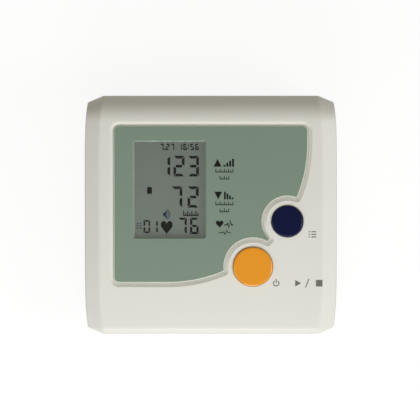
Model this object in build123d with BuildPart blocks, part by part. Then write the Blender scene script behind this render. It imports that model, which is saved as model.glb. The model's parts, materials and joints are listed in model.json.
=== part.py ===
from build123d import *
from math import cos, hypot, radians, sin, tan
import os

# A desktop blood pressure monitor for an upper-arm cuff. Millimetres. X runs left to right, Y from
# the front edge to the rear edge, Z up. The origin is on the table, under the middle of the casing.
# Places on the sloping face are measured in the face's own plane, from the point over the origin,
# and depths are measured square to the face, downwards.

# ---------------------------------------------------------------- casing
case_width = 130.0
case_depth = 123.0
front_height = 40.0          # the sloping face, carried on to the front edge, above the table
face_tilt = 7.0              # slope of the face, in degrees
foot_height = 1.5            # the underside stands this far above the table
split_height = 24.0          # where the top and bottom cases meet
lower_lean = 3.0             # how far the front and rear walls lean in below the split
wall = 2.4
front_radius = 4.0
rear_radius = 12.0
bottom_radius = 10.0
bevel_width = 7.4            # side bevel, measured across the face
bevel_depth = 3.5            # side bevel, measured down from the face
bevel_land = 0.6             # least rounding left inside the front edge once it is bevelled
crease_radius = 3.0          # where the face runs into the side bevel
cheek_radius = 0.9           # where the side bevel runs into the upright cheek
cheek_bow = 2.8              # each cheek curves in this far, a wall's thickness beyond its ends
cheek_spans = 6              # degree of that curve: nearly flat in the middle, bent at the ends
seam_depth = 0.35            # fine groove round the casing where its halves meet
seam_height = 0.4
tongue_height = 2.0
tongue_thickness = 1.1
fit_gap = 0.1                # play between plastic parts that slot together
slide_gap = 0.2              # play round the sliding battery door

# ---------------------------------------------------------------- faceplate and window
plate_margin = 7.4           # from the plate to the start of the side bevel
plate_height = 81.95
plate_setback = 15.05         # from the plate to the casing's rear, along the face
plate_corner = 3.0
plate_sweep = 72.0           # the large arc that takes off the plate's lower right corner
plate_cusp = 0.6             # rounding of the points left where the key cut-outs meet that arc
plate_thickness = 1.2
plate_drop = 0.5             # the plate lies this far below the casing's face
plate_edge = 0.55
groove_width = 1.95          # sloping side of the recess, seen from above
groove_depth = 1.4
seat_rim = 2.2               # the thickened seat reaches this far past the plate
seat_thickness = 1.0
window_width = 36.4
window_height = 49.6
window_inset = 10.8          # from the plate's left edge
window_drop = 8.6            # from the plate's rear edge
window_corner = 0.6
window_edge = 0.15
window_flange = 1.5
window_flange_thickness = 0.6

# ---------------------------------------------------------------- keys
key_sizes = {                # in from the plate's right edge, down from its rear edge, radius, cut-out
    "start": (28.5, 73.35, 10.25, 14.6),
    "memory": (10.75, 49.75, 8.15, 12.7),
}
key_rise = 1.3               # how far a key stands above the face
key_gap = 0.2                # round a key, in its hole
key_edge = 0.9               # rounding of a key's rim
key_shell = 1.5
key_flange = 1.5
key_flange_thickness = 1.2
key_play = 0.1
key_stem_radius = 2.5
hole_edge = 0.2
switch_side = 6.0
switch_height = 3.4
switch_base = 0.4
switch_cover = 0.3
plunger_radius = 1.7
plunger_rise = 1.6
plunger_flange = 2.2
plunger_flange_thickness = 1.2
plunger_play = 0.05

# ---------------------------------------------------------------- circuit board and display
board_depth = 11.0           # top of the board, below the face
board_thickness = 1.6
board_gap = 1.0              # from the board's sides to the screw columns
board_height = 88.0
board_drop = 5.1             # the board's middle lies this far in front of the plate's middle
board_corner = 2.0
board_post_inset = (3.0, 3.5)
board_post_radius = 2.6
glass_width = 42.0
glass_height = 57.8
glass_thickness = 1.1
glass_ledge = 3.0            # strip of the front glass that carries the contacts
glass_gap = 0.2              # between the window's seat and the glass
holder_wall = 1.2
holder_shelf = 1.5
holder_drop = 0.2            # the holder's rim lies this far below the glass's front
strip_width = 2.2
strip_length = 38.0
sensor_side = 7.0
sensor_height = 3.2
sensor_nipple = 4.5
buzzer_place = (26.0, 30.5)  # this and the next places are measured from the board's middle
buzzer_radius = 6.0
buzzer_height = 4.5
buzzer_hole = 1.0
buzzer_hole_depth = 1.5
chip_place = (12.0, 5.5)
chip_side = 10.0
chip_height = 1.4
chip_lift = 0.1
chip_pins = 11               # on each side of the controller
chip_pin_pitch = 0.8
chip_pin_width = 0.35
chip_pin_reach = 1.0
chip_pin_height = 0.6
capacitor_places = ((-9.0, -22.5), (-9.0, -12.5), (30.0, -14.5))
capacitor_radius = 3.2
capacitor_height = 7.0
capacitor_edge = 0.5
resistor_inset = 17.0        # from the board's right side to the middle of the small components
resistor_rise = 11.5
resistor_size = (2.0, 1.25, 0.55)
resistor_pitch = (4.0, 3.2)
resistor_count = (3, 4)
header_size = (7.0, 4.5, 5.5)
header_places = {            # across from the pump's axis, and along from the board's middle
    "pump": (18.0, -30.5),
    "battery": (37.0, 35.5),
    "valve": (13.0, 37.5),
    "jack": (-5.0, 29.5),
}

# ---------------------------------------------------------------- screws and feet
column_inset_x = 10.5        # case screw columns, in from the casing's sides
column_inset_y = 26.0        # and from its front and rear
column_radius = 4.5
case_screw_radius = 1.4
case_screw_head = 2.7
case_screw_head_height = 2.0
case_screw_seat = 12.0       # height of the shoulder a case screw's head bears on
case_screw_length = 20.0
head_gap = 0.3
thread_gap = 0.05            # radial play that stands for the threads
pilot_spare = 1.0            # the hole runs this far past the screw's end
board_screw_radius = 1.1
board_screw_head = 2.2
board_screw_head_height = 1.3
board_screw_length = 6.0
driver_reach = 0.62          # half length of the driver's cross, as a share of the head's radius
driver_width = 0.7
driver_depth = 0.9
foot_radius = 4.0
foot_margin = 1.1            # from the foot to the start of the side bevel
foot_y = 44.0
foot_recess = 0.8
foot_edge = 0.4

# ---------------------------------------------------------------- battery bay and door
cell_radius = 7.15
cell_body_length = 49.2
cell_edge = 0.5
cell_nub_radius = 2.7
cell_nub_length = 1.3
cell_count = 4
cell_gap = 0.3
bay_inset = 46.5             # from the casing's right side to the middle of the bay
bay_setback = 11.5           # from the rear of the casing to the inside of the bay
bay_wall = 1.4
bay_headroom = 0.5
spring_length = 5.4          # with the cell in place
spring_radius = 3.4
spring_wire = 0.35
spring_turns = 4
contact_thickness = 0.4
contact_half = 6.0
tab_half = 1.2
tab_rise = 2.0
door_thickness = 2.1
door_flange = 1.4
door_flange_thickness = 1.0
door_margin = 3.0            # how far the door reaches in front of the bay
door_lip = 9.0               # height of the door's upturned rear lip
door_roof = 1.4              # plastic over the door's flanges
door_rail = 1.5
grip_length = 24.0
grip_width = 1.2
grip_pitch = 3.0
grip_count = 6
grip_depth = 0.6
grip_y = 32.0
arrow_width = 9.0
arrow_height = 7.0
arrow_y = 14.0
arrow_depth = 0.4

# ---------------------------------------------------------------- pump, valve and air lines
air_inset = 28.0             # pump, manifold and valve lie on one axis, this far in from the left
air_z = 16.0
pump_radius = 11.0
motor_setback = 13.5         # from the casing's front to the motor's can
motor_length = 27.0
can_wall = 0.8
shaft_radius = 1.0
shaft_gap = 0.05
cap_thickness = 2.0
cap_plug = 1.5
cap_plug_wall = 1.8
bearing_radius = 3.0
bearing_length = 2.0
magnet_thickness = 1.8
magnet_margin = 2.5
magnet_split = 7.0           # width of the gaps between the two magnets
rotor_radius = 7.8
rotor_margin = 6.5
rotor_slots = 3
rotor_slot_width = 1.8
rotor_slot_depth = 5.0
winding_radius = 6.6
winding_length = 2.5
commutator_radius = 2.6
terminal_offset = 4.0
shaft_reach = 6.5            # the shaft stands this far out of the can
crank_radius = 4.5
crank_length = 4.0
crank_gap = 1.0
crank_pin_offset = 2.5
crank_pin_radius = 0.8
crank_pin_length = 3.0
chamber_length = 11.0
chamber_wall = 1.6
diaphragm_thickness = 1.2
diaphragm_lip = 0.2
cup_radius = 2.4
cup_circle = 6.4
cup_depth = 2.0
cup_count = 3
pump_cover_length = 6.2
pump_cover_cavity = 2.0
pump_port = 5.0              # length of the outlet nipple
nipple_radius = 1.95
nipple_bore = 1.2
tube_bore = 2.0
tube_radius = 3.2
tube_gap = 0.1
hub_radius = 3.4
hub_reach = 3.6
arm_length = 5.0
pad_half_width = 9.0
pad_margin = 2.0             # the pad stops short of the can's ends by this
pad_top = 9.4
cradle_half_width = 10.0
cradle_thickness = 1.8
cradle_top = 8.4
cradle_gap = 0.3
valve_setback = 5.4          # from the casing's rear to the valve
valve_side = 14.0
valve_length = 17.5
valve_flange = 1.5
valve_flange_radius = 5.0
yoke_thickness = 1.2
bobbin_flange = 1.0
bobbin_gap = 0.2
bobbin_bore = 2.5
bobbin_core = 3.3
winding_outer = 5.4
terminal_block = (3.6, 5.0, 8.0)
terminal_inset = 0.9         # of the leads from the block's outer side
valve_plunger_radius = 2.3
valve_plunger_edge = 0.4
valve_spring_length = 2.6
valve_spring_radius = 1.7
valve_spring_wire = 0.2
valve_spring_turns = 4
valve_cradle_setback = 3.1   # from the valve's rear to its cradle
valve_cradle_length = 5.5
valve_cradle_wall = 1.4
valve_cradle_top = 13.0

# ---------------------------------------------------------------- air socket and power socket
socket_flange_radius = 6.2
socket_flange = 1.0
socket_radius = 4.5
socket_length = 13.0
socket_bore = 2.6
socket_bore_depth = 11.0
socket_port = 5.0
gasket_thickness = 0.8
gasket_radius = 6.4
nut_across_flats = 12.0
nut_sides = 6
nut_thickness = 3.0
jack_inset = 14.8            # from the casing's left side
jack_z = 14.0
jack_setback = 5.5           # from the casing's rear to where the jack bears on the wall's boss
jack_width = 9.0
jack_height = 10.5
jack_length = 13.5
jack_bore = 2.85
jack_bore_depth = 9.5
jack_pin_radius = 1.0
jack_pin_setback = 1.0
jack_pin_root = 3.0
jack_hole = 4.4
jack_boss = 6.0
jack_seat_margin = 1.0

# ---------------------------------------------------------------- leads
lead_radius = 0.6
lead_pitch = 2.5
lead_drop = 5.0              # a lead runs straight into its header over this length
bend_share = 0.45            # of the shorter run beside a bend, taken up by the bend
pump_lead_reach = 4.5        # the pump's leads run this far out of the end cap
valve_lead_z = 28.0
jack_lead_offset = 1.5
jack_lead_reach = 2.3
jack_lead_z = 28.0
battery_lead_z = 27.0

# ---------------------------------------------------------------- worked out from the above
half_width = case_width / 2
half_depth = case_depth / 2
slope = radians(face_tilt)
everywhere = (-2 * case_width, 2 * case_width)


def face_height(y):
    """Height of the sloping face over a point y."""
    return front_height + (y + half_depth) * tan(slope)


face = Plane(origin=(0, 0, face_height(0)), x_dir=(1, 0, 0), z_dir=(0, -sin(slope), cos(slope)))
face_axis = Axis(face.origin, face.z_dir)
floor_top = foot_height + wall
plate_width = case_width - 2 * (bevel_width + plate_margin)
plate_rear = half_depth - plate_setback
plate_y = plate_rear - plate_height / 2
plate_bottom = plate_drop + plate_thickness
window_x = window_inset + window_width / 2 - plate_width / 2
window_y = plate_rear - window_drop - window_height / 2
keys = {
    name: (plate_width / 2 - inset, plate_rear - drop, radius, ring)
    for name, (inset, drop, radius, ring) in key_sizes.items()
}
window_seat = plate_bottom + window_flange_thickness
seat_bottom = wall + seat_thickness
glass_top = seat_bottom + glass_gap
glass_joint = glass_top + glass_thickness
glass_bottom = glass_joint + glass_thickness
board_bottom = board_depth + board_thickness
header_bottom = board_bottom + header_size[2]
switch_top = board_depth - switch_height
switch_lid = switch_top + switch_cover
plunger_top = switch_top - plunger_rise
key_flange_top = wall + key_play
key_flange_bottom = key_flange_top + key_flange_thickness
column_x = half_width - column_inset_x
column_y = half_depth - column_inset_y
columns = [(x, y) for x in (-column_x, column_x) for y in (-column_y, column_y)]
board_width = 2 * (column_x - column_radius - board_gap)
board_y = plate_y - board_drop
board_face = Plane(origin=face.from_local_coords((0, board_y, 0)), x_dir=face.x_dir, z_dir=face.z_dir)
board_post_x = board_width / 2 - board_post_inset[0]
board_post_y = board_height / 2 - board_post_inset[1]
board_posts = [(x, y) for x in (-board_post_x, board_post_x) for y in (-board_post_y, board_post_y)]
foot_x = half_width - bevel_width - foot_radius - foot_margin
feet = [(x, y) for x in (-foot_x, foot_x) for y in (-foot_y, foot_y)]
bay_x = half_width - bay_inset
cell_length = cell_body_length + cell_nub_length
cell_pitch = 2 * cell_radius + cell_gap
door_top = foot_height + door_thickness
cell_z = door_top + cell_gap + cell_radius
bay_half = (cell_count * cell_pitch + cell_gap) / 2
bay_rear = half_depth - bay_setback
bay_front = bay_rear - cell_length - spring_length - 2 * contact_thickness
bay_top = cell_z + cell_radius + bay_headroom
bay_roof = bay_top + bay_wall
door_front = bay_front - door_margin
rail_half = bay_half + door_flange + slide_gap + door_rail
rail_top = door_top + slide_gap + door_roof
air_x = air_inset - half_width
air_axis = Plane(origin=(air_x, 0, air_z), x_dir=(1, 0, 0), z_dir=(0, 1, 0))
motor_front = motor_setback - half_depth
motor_rear = motor_front + motor_length
chamber_front = motor_rear + chamber_length
pump_cover_front = chamber_front + diaphragm_thickness
pump_end = pump_cover_front + pump_cover_length
valve_rear = half_depth - valve_setback
valve_front = valve_rear - valve_length
valve_body = valve_front + valve_flange
valve_cradle_rear = valve_rear - valve_cradle_setback
valve_cradle = (valve_cradle_rear - valve_cradle_length, valve_cradle_rear)
hub_y = (pump_end + valve_front) / 2
hub = Vector(air_x, hub_y, air_z)
hub_end = hub_reach + tube_gap
coil_front = valve_body + yoke_thickness + bobbin_gap
coil_rear = valve_rear - yoke_thickness - bobbin_gap
coil_half = valve_side / 2 - yoke_thickness - fit_gap
socket_axis = Plane(origin=(0, hub_y, air_z), z_dir=(-1, 0, 0))
socket_inner = half_width - wall
socket_end = half_width - socket_length
jack_x = jack_inset - half_width
jack_face = half_depth - jack_setback
jack_axis = Plane(origin=(jack_x, 0, jack_z), x_dir=(1, 0, 0), z_dir=(0, 1, 0))


# ---------------------------------------------------------------- small helpers
def save(piece, label):
    """Name a finished piece and write it as parts/LABEL.step."""
    piece.part.label = label
    export_step(piece.part, f"parts/{label}.step")


def about(centre, half):
    """The two ends of a span with the given middle and half length."""
    return (centre - half, centre + half)


def below(top, bottom):
    """A span along the face's normal, from one depth under the face down to another."""
    return (-bottom, -top)


def upright(x, y):
    """A vertical axis standing at a point of the table."""
    return Plane(origin=(x, y, 0))


def spot(x, y, plane=face):
    """An axis square to the face, through a point of the face or of the board's own plane."""
    return Plane(origin=plane.from_local_coords((x, y, 0)), x_dir=face.x_dir, z_dir=face.z_dir)


def block(x, y, z, plane=Plane.XY, corner=0.0, mode=Mode.ADD):
    """A block spanning three pairs of coordinates, measured in a plane."""
    with BuildSketch(plane.offset(z[0])) as base:
        with Locations((sum(x) / 2, sum(y) / 2)):
            Rectangle(x[1] - x[0], y[1] - y[0])
        if corner:
            fillet(base.vertices(), radius=corner)
    extrude(base.sketch, amount=z[1] - z[0], mode=mode)


def bar(axis, start, end, radius, bore=0.0, mode=Mode.ADD):
    """A round bar between two distances along a plane's normal, with a hole through it if wanted."""
    with BuildSketch(axis.offset(start)) as section:
        Circle(radius)
        if bore:
            Circle(bore, mode=Mode.SUBTRACT)
    extrude(section.sketch, amount=end - start, mode=mode)


def sink(outline, span, mode=Mode.ADD):
    """An outline drawn on the face, extruded over a span of depths."""
    with BuildSketch(face.offset(span[0])) as base:
        add(outline)
    extrude(base.sketch, amount=span[1] - span[0], mode=mode)


def screw(axis, seat, length, radius, head_radius, head_height):
    """A cross-head screw whose head bears at seat and whose shank runs on along the axis."""
    head = seat - head_height
    bar(axis, head, seat, head_radius)
    bar(axis, seat, seat + length, radius)
    reach = about(0, head_radius * driver_reach)
    width = about(0, driver_width / 2)
    for x, y in ((reach, width), (width, reach)):
        block(x, y, (head, head + driver_depth), plane=axis, mode=Mode.SUBTRACT)


def coil(axis, start, end, radius, wire, turns):
    """A coil spring between two distances along a plane's normal."""
    length = end - start - 2 * wire
    foot = axis.offset(start + wire).origin
    with BuildLine() as path:
        Helix(length / turns, length, radius, center=foot, direction=axis.z_dir)
    with BuildSketch(Plane(origin=path.line @ 0, z_dir=path.line % 0)) as section:
        Circle(wire)
    sweep(section.sketch, path=path.line, is_frenet=True)


# ---------------------------------------------------------------- casing
def case_form(inset=0.0):
    """The closed shape of the casing, or the same shape with every wall moved in by inset."""
    bevel_shrink = 1 / bevel_width + 1 / bevel_depth - hypot(1 / bevel_width, 1 / bevel_depth)
    bevel_scale = 1 - inset * bevel_shrink
    half = half_width - inset
    front_top = (-half_depth, face_height(-half_depth))
    rear_top = (half_depth, face_height(half_depth))
    front_foot = (-half_depth + lower_lean, foot_height)
    rear_foot = (half_depth - lower_lean, foot_height)
    rounded = (
        (front_top, max(front_radius, inset + bevel_depth * bevel_scale + bevel_land)),
        (rear_top, rear_radius),
        (front_foot, bottom_radius),
        (rear_foot, bottom_radius),
    )
    with BuildPart() as form:
        with BuildSketch(Plane.YZ) as profile:
            with BuildLine():
                front_wall = Line(front_top, (-half_depth, split_height))
                TangentArc(front_wall @ 1, front_foot, tangent=(0, -1))
                rear_wall = Line(rear_top, (half_depth, split_height))
                TangentArc(rear_wall @ 1, rear_foot, tangent=(0, -1))
                Line(front_foot, rear_foot)
                Line(front_top, rear_top)
            make_face()
            for corner, radius in rounded:
                fillet(profile.vertices().sort_by_distance(corner)[0], radius=radius)
            if inset:
                offset(amount=-inset)
        extrude(amount=half, both=True)
        with BuildSketch() as plan:
            stations = range(cheek_spans + 1)
            reach = half_depth + wall
            with BuildLine():
                for side in (-1, 1):
                    sways = [side * (half - cheek_bow * (-1) ** i) for i in stations]
                    steps = [reach * (2 * i / cheek_spans - 1) for i in stations]
                    Bezier(*zip(sways, steps))
                for step in (-reach, reach):
                    Line((cheek_bow - half, step), (half - cheek_bow, step))
            make_face()
        extrude(plan.sketch, amount=face_height(half_depth), mode=Mode.INTERSECT)
        for end in (0, -1):
            cheek = form.faces().sort_by(Axis.X)[end]
            chamfer(cheek.edges(), bevel_depth * bevel_scale, bevel_width * bevel_scale, reference=cheek)
        if not inset:
            crease = half - bevel_width + fit_gap
            fillet(form.edges().filter_by(lambda e: fit_gap < abs(e.center().X) < crease), radius=crease_radius)
            rim = half - cheek_bow
            fillet(form.edges().filter_by(lambda e: abs(e.center().X) > rim), radius=cheek_radius)
    return form.part


def wall_layer(form, lining, height):
    """The part of the casing's wall between two forms that stands on the split, up to a height."""
    with BuildPart() as layer:
        add(form)
        add(lining, mode=Mode.SUBTRACT)
        block(everywhere, everywhere, (split_height, split_height + height), mode=Mode.INTERSECT)
    return layer.part


def plate_outline(grow=0.0):
    """The faceplate's outline: a rounded rectangle, one corner swept off, cut back round each key."""
    with BuildSketch() as outline:
        with Locations((0, plate_y)):
            Rectangle(plate_width + 2 * grow, plate_height + 2 * grow)
        corners = outline.vertices().sort_by(lambda v: v.X - v.Y)
        fillet(corners[:-1], radius=plate_corner + grow)
        fillet(outline.vertices().sort_by(lambda v: v.X - v.Y)[-1], radius=plate_sweep + grow)
        for x, y, _, ring in keys.values():
            with Locations((x, y)):
                Circle(ring - grow, mode=Mode.SUBTRACT)
        for x, y, _, ring in keys.values():
            cusps = outline.vertices().filter_by(
                lambda v: abs(hypot(v.X - x, v.Y - y) - ring + grow) < fit_gap / 2
            )
            fillet(cusps, radius=plate_cusp + grow)
    return outline.sketch


def window_outline(grow=0.0):
    """The display window's outline, or the same outline grown all round."""
    with BuildSketch() as outline:
        with Locations((window_x, window_y)):
            RectangleRounded(window_width + 2 * grow, window_height + 2 * grow, window_corner + grow)
    return outline.sketch


def make_top_case(outer, middle, inner):
    """The upper shell: sloping face, seats for faceplate and window, key holes and screw posts."""
    seat, recess = plate_outline(seat_rim), plate_outline(fit_gap)
    opening, flange_pocket = window_outline(), window_outline(window_flange + fit_gap)
    rebate = wall_layer(middle, inner, tongue_height + fit_gap)
    seam = wall_layer(outer, case_form(seam_depth), seam_height)
    with BuildPart() as top_case:
        sink(seat, below(plate_bottom, seat_bottom))
        for x, y in board_posts:
            bar(spot(x, y, board_face), *below(plate_bottom, board_depth), board_post_radius)
        for x, y in columns:
            bar(upright(x, y), split_height, face_height(y), column_radius)
        add(middle, mode=Mode.INTERSECT)
        add(outer - inner)
        split(bisect_by=Plane.XY.offset(split_height), keep=Keep.TOP)
        add(seam, mode=Mode.SUBTRACT)
        add(rebate, mode=Mode.SUBTRACT)
        pilot = below(board_bottom - board_screw_length - pilot_spare, board_depth)
        for x, y in board_posts:
            bar(spot(x, y, board_face), *pilot, board_screw_radius + thread_gap, mode=Mode.SUBTRACT)
        for x, y in columns:
            tip = case_screw_seat + case_screw_length + pilot_spare
            bar(upright(x, y), split_height, tip, case_screw_radius + thread_gap, mode=Mode.SUBTRACT)
        for x, y, radius, _ in keys.values():
            bar(spot(x, y), *below(-wall, seat_bottom), radius + key_gap, mode=Mode.SUBTRACT)
        sink(opening, below(0, seat_bottom), mode=Mode.SUBTRACT)
        sink(flange_pocket, below(0, window_seat), mode=Mode.SUBTRACT)
        sink(recess, below(0, plate_bottom), mode=Mode.SUBTRACT)
        front = top_case.faces().filter_by(face_axis).sort_by(face_axis)[-1]
        holes = front.inner_wires().sort_by(lambda w: w.length)
        chamfer(holes[-1].edges(), groove_width, groove_depth, reference=front)
        front = top_case.faces().filter_by(face_axis).sort_by(face_axis)[-1]
        for hole in front.inner_wires().sort_by(lambda w: w.length)[:-1]:
            fillet(hole.edges(), radius=hole_edge)
    save(top_case, "top_case")


def make_bottom_case(outer, middle, inner):
    """The lower shell: screw columns, battery bay, door runners, cradles and socket holes."""
    boss_z = about(jack_z, jack_boss)
    jack_floor = jack_z - jack_height / 2
    half = valve_side / 2 + fit_gap
    opening = about(bay_x, bay_half + slide_gap)
    slot = about(bay_x, bay_half + door_flange + slide_gap)
    runner_y = (door_front - slide_gap, half_depth)
    tongue = wall_layer(case_form(wall - tongue_thickness), inner, tongue_height)
    with BuildPart() as bottom_case:
        for x, y in columns:
            bar(upright(x, y), foot_height, split_height, column_radius)
        bay_y = (bay_front - bay_wall, bay_rear + bay_wall)
        block(about(bay_x, bay_half + bay_wall), bay_y, (foot_height, bay_roof))
        block(about(bay_x, rail_half), (door_front - door_rail, half_depth), (foot_height, rail_top))
        shelf_top = door_lip + slide_gap + door_roof
        block(about(bay_x, rail_half), (bay_rear, half_depth), (foot_height, shelf_top))
        for end, side in ((motor_front, 1), (motor_rear, -1)):
            near = end + side * (pad_margin - fit_gap)
            cradle_y = sorted((near, near - side * cradle_thickness))
            block(about(air_x, cradle_half_width), cradle_y, (foot_height, cradle_top))
        bar(air_axis, motor_front - wall, motor_rear + wall, pump_radius + cradle_gap, mode=Mode.SUBTRACT)
        block(about(air_x, half + valve_cradle_wall), valve_cradle, (foot_height, valve_cradle_top))
        valve_floor = air_z - valve_side / 2
        block(about(air_x, half), valve_cradle, (valve_floor, valve_cradle_top), mode=Mode.SUBTRACT)
        jack_half = jack_width / 2
        jack_y = (jack_face - jack_length + jack_seat_margin, jack_face)
        block(about(jack_x, jack_half), jack_y, (foot_height, jack_floor))
        block(about(jack_x, jack_boss), (jack_face, half_depth), boss_z)
        add(middle, mode=Mode.INTERSECT)
        add(outer - inner)
        split(bisect_by=Plane.XY.offset(split_height), keep=Keep.BOTTOM)
        add(tongue)
        block(about(bay_x, bay_half), (bay_front, bay_rear), (0, bay_top), mode=Mode.SUBTRACT)
        block(opening, runner_y, (0, door_top + slide_gap), mode=Mode.SUBTRACT)
        flange_floor = door_top - door_flange_thickness - fit_gap
        block(slot, runner_y, (flange_floor, door_top + slide_gap), mode=Mode.SUBTRACT)
        tail_y = (bay_rear + bay_wall, half_depth)
        block(opening, tail_y, (0, door_lip + slide_gap), mode=Mode.SUBTRACT)
        for end in (0, cell_count - 1):
            tab_x = about(cell_x(end), tab_half + fit_gap)
            tab_y = (bay_rear - contact_thickness - fit_gap, bay_rear)
            block(tab_x, tab_y, (cell_z, bay_roof), mode=Mode.SUBTRACT)
        for x, y in columns:
            bore = case_screw_radius + head_gap
            bar(upright(x, y), 0, split_height, bore, mode=Mode.SUBTRACT)
            bar(upright(x, y), 0, case_screw_seat, case_screw_head + head_gap, mode=Mode.SUBTRACT)
        for x, y in feet:
            bar(upright(x, y), 0, foot_height + foot_recess, foot_radius + fit_gap, mode=Mode.SUBTRACT)
        seat = half_width - socket_flange
        bar(socket_axis, seat, half_width, socket_flange_radius + fit_gap, mode=Mode.SUBTRACT)
        bar(socket_axis, socket_inner - wall, socket_inner, gasket_radius + fit_gap, mode=Mode.SUBTRACT)
        bar(socket_axis, socket_inner - wall, half_width, socket_radius + fit_gap, mode=Mode.SUBTRACT)
        bar(jack_axis, jack_face, half_depth, jack_hole, mode=Mode.SUBTRACT)
    save(bottom_case, "bottom_case")


def make_feet_and_screws():
    """Four rubber feet in shallow recesses, and the four screws that close the casing."""
    with BuildPart() as rubber_feet:
        for x, y in feet:
            bar(upright(x, y), 0, foot_height + foot_recess, foot_radius)
        fillet(rubber_feet.edges().group_by(Axis.Z)[0], radius=foot_edge)
    save(rubber_feet, "rubber_feet")
    with BuildPart() as case_screws:
        for x, y in columns:
            size = (case_screw_radius, case_screw_head, case_screw_head_height)
            screw(upright(x, y), case_screw_seat, case_screw_length, *size)
    save(case_screws, "case_screws")


def make_battery_door(outer):
    """The sliding door under the battery bay, with its upturned rear lip, flanges and grip."""
    lining = case_form(door_thickness)
    arrow_side = hypot(arrow_width / 2, arrow_height)
    with BuildPart() as battery_door:
        add(outer - lining)
        block(about(bay_x, bay_half), (door_front, half_depth), (0, door_lip), mode=Mode.INTERSECT)
        flange_z = (door_top - door_flange_thickness, door_top)
        block(about(bay_x, bay_half + door_flange), (door_front, bay_rear), flange_z)
        with BuildSketch(Plane.XY.offset(foot_height)):
            with Locations((bay_x, grip_y)):
                with GridLocations(0, grip_pitch, 1, grip_count):
                    SlotOverall(grip_length, grip_width)
        extrude(amount=grip_depth, mode=Mode.SUBTRACT)
        with BuildSketch(Plane.XY.offset(foot_height)):
            with Locations((bay_x, arrow_y)):
                Triangle(a=arrow_width, b=arrow_side, c=arrow_side)
        extrude(amount=arrow_depth, mode=Mode.SUBTRACT)
    save(battery_door, "battery_door")


# ---------------------------------------------------------------- faceplate, window and keys
def make_faceplate():
    """The coloured plate that lies in the face's recess, round the window and beside the keys."""
    outline, opening = plate_outline(), window_outline(fit_gap)
    with BuildPart() as faceplate:
        sink(outline, below(plate_drop, plate_bottom))
        sink(opening, below(plate_drop, plate_bottom), mode=Mode.SUBTRACT)
        chamfer(faceplate.faces().sort_by(face_axis)[-1].edges(), plate_edge)
    save(faceplate, "faceplate")


def make_display_window():
    """The clear window: flush with the faceplate, held under it by a thin flange."""
    pane, flange = window_outline(), window_outline(window_flange)
    with BuildPart() as display_window:
        sink(pane, below(plate_drop, plate_bottom))
        chamfer(display_window.faces().sort_by(face_axis)[-1].edges(), window_edge)
        sink(flange, below(plate_bottom, window_seat))
    save(display_window, "display_window")


def make_button(name):
    """A round key: a hollow cap with a flange that stops under the face, and a stem to its switch."""
    x, y, radius, _ = keys[name]
    axis = spot(x, y)
    roof = key_shell - key_rise
    with BuildPart() as button:
        bar(axis, *below(-key_rise, key_flange_bottom), radius)
        fillet(button.faces().sort_by(face_axis)[-1].edges(), radius=key_edge)
        bar(axis, *below(key_flange_top, key_flange_bottom), radius + key_flange)
        bar(axis, *below(roof, key_flange_bottom), radius - key_shell, mode=Mode.SUBTRACT)
        bar(axis, *below(roof - key_shell / 2, plunger_top), key_stem_radius)
    save(button, f"{name}_button")


def make_switch(name):
    """The tact switch under a key: housing, steel cover and plunger."""
    x, y, _, _ = keys[name]
    axis = spot(x, y)
    side_x = about(x, switch_side / 2)
    side_y = about(y, switch_side / 2)
    with BuildPart() as housing:
        block(side_x, side_y, below(switch_lid, board_depth), plane=face)
        well = below(switch_lid, board_depth - switch_base)
        bar(axis, *well, plunger_flange + fit_gap, mode=Mode.SUBTRACT)
    save(housing, f"{name}_switch_housing")
    with BuildPart() as cover:
        block(side_x, side_y, below(switch_top, switch_lid), plane=face)
        bar(axis, *below(switch_top, switch_lid), plunger_radius + fit_gap, mode=Mode.SUBTRACT)
    save(cover, f"{name}_switch_cover")
    with BuildPart() as plunger:
        flange_top = switch_lid + plunger_play
        bar(axis, *below(plunger_top, flange_top), plunger_radius)
        bar(axis, *below(flange_top, flange_top + plunger_flange_thickness), plunger_flange)
    save(plunger, f"{name}_switch_plunger")


# ---------------------------------------------------------------- circuit board and display
def make_board():
    """The circuit board that hangs under the face on four posts, and its screws."""
    with BuildPart() as main_board:
        board = (about(0, board_width / 2), about(0, board_height / 2))
        block(*board, below(board_depth, board_bottom), plane=board_face, corner=board_corner)
        hole = board_screw_radius + head_gap
        for x, y in board_posts:
            through = below(board_depth, board_bottom)
            bar(spot(x, y, board_face), *through, hole, mode=Mode.SUBTRACT)
    save(main_board, "main_board")
    with BuildPart() as board_screws:
        for x, y in board_posts:
            size = (board_screw_radius, board_screw_head, board_screw_head_height)
            screw(spot(x, y, board_face), -board_bottom, board_screw_length, *size)
    save(board_screws, "board_screws")


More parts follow.
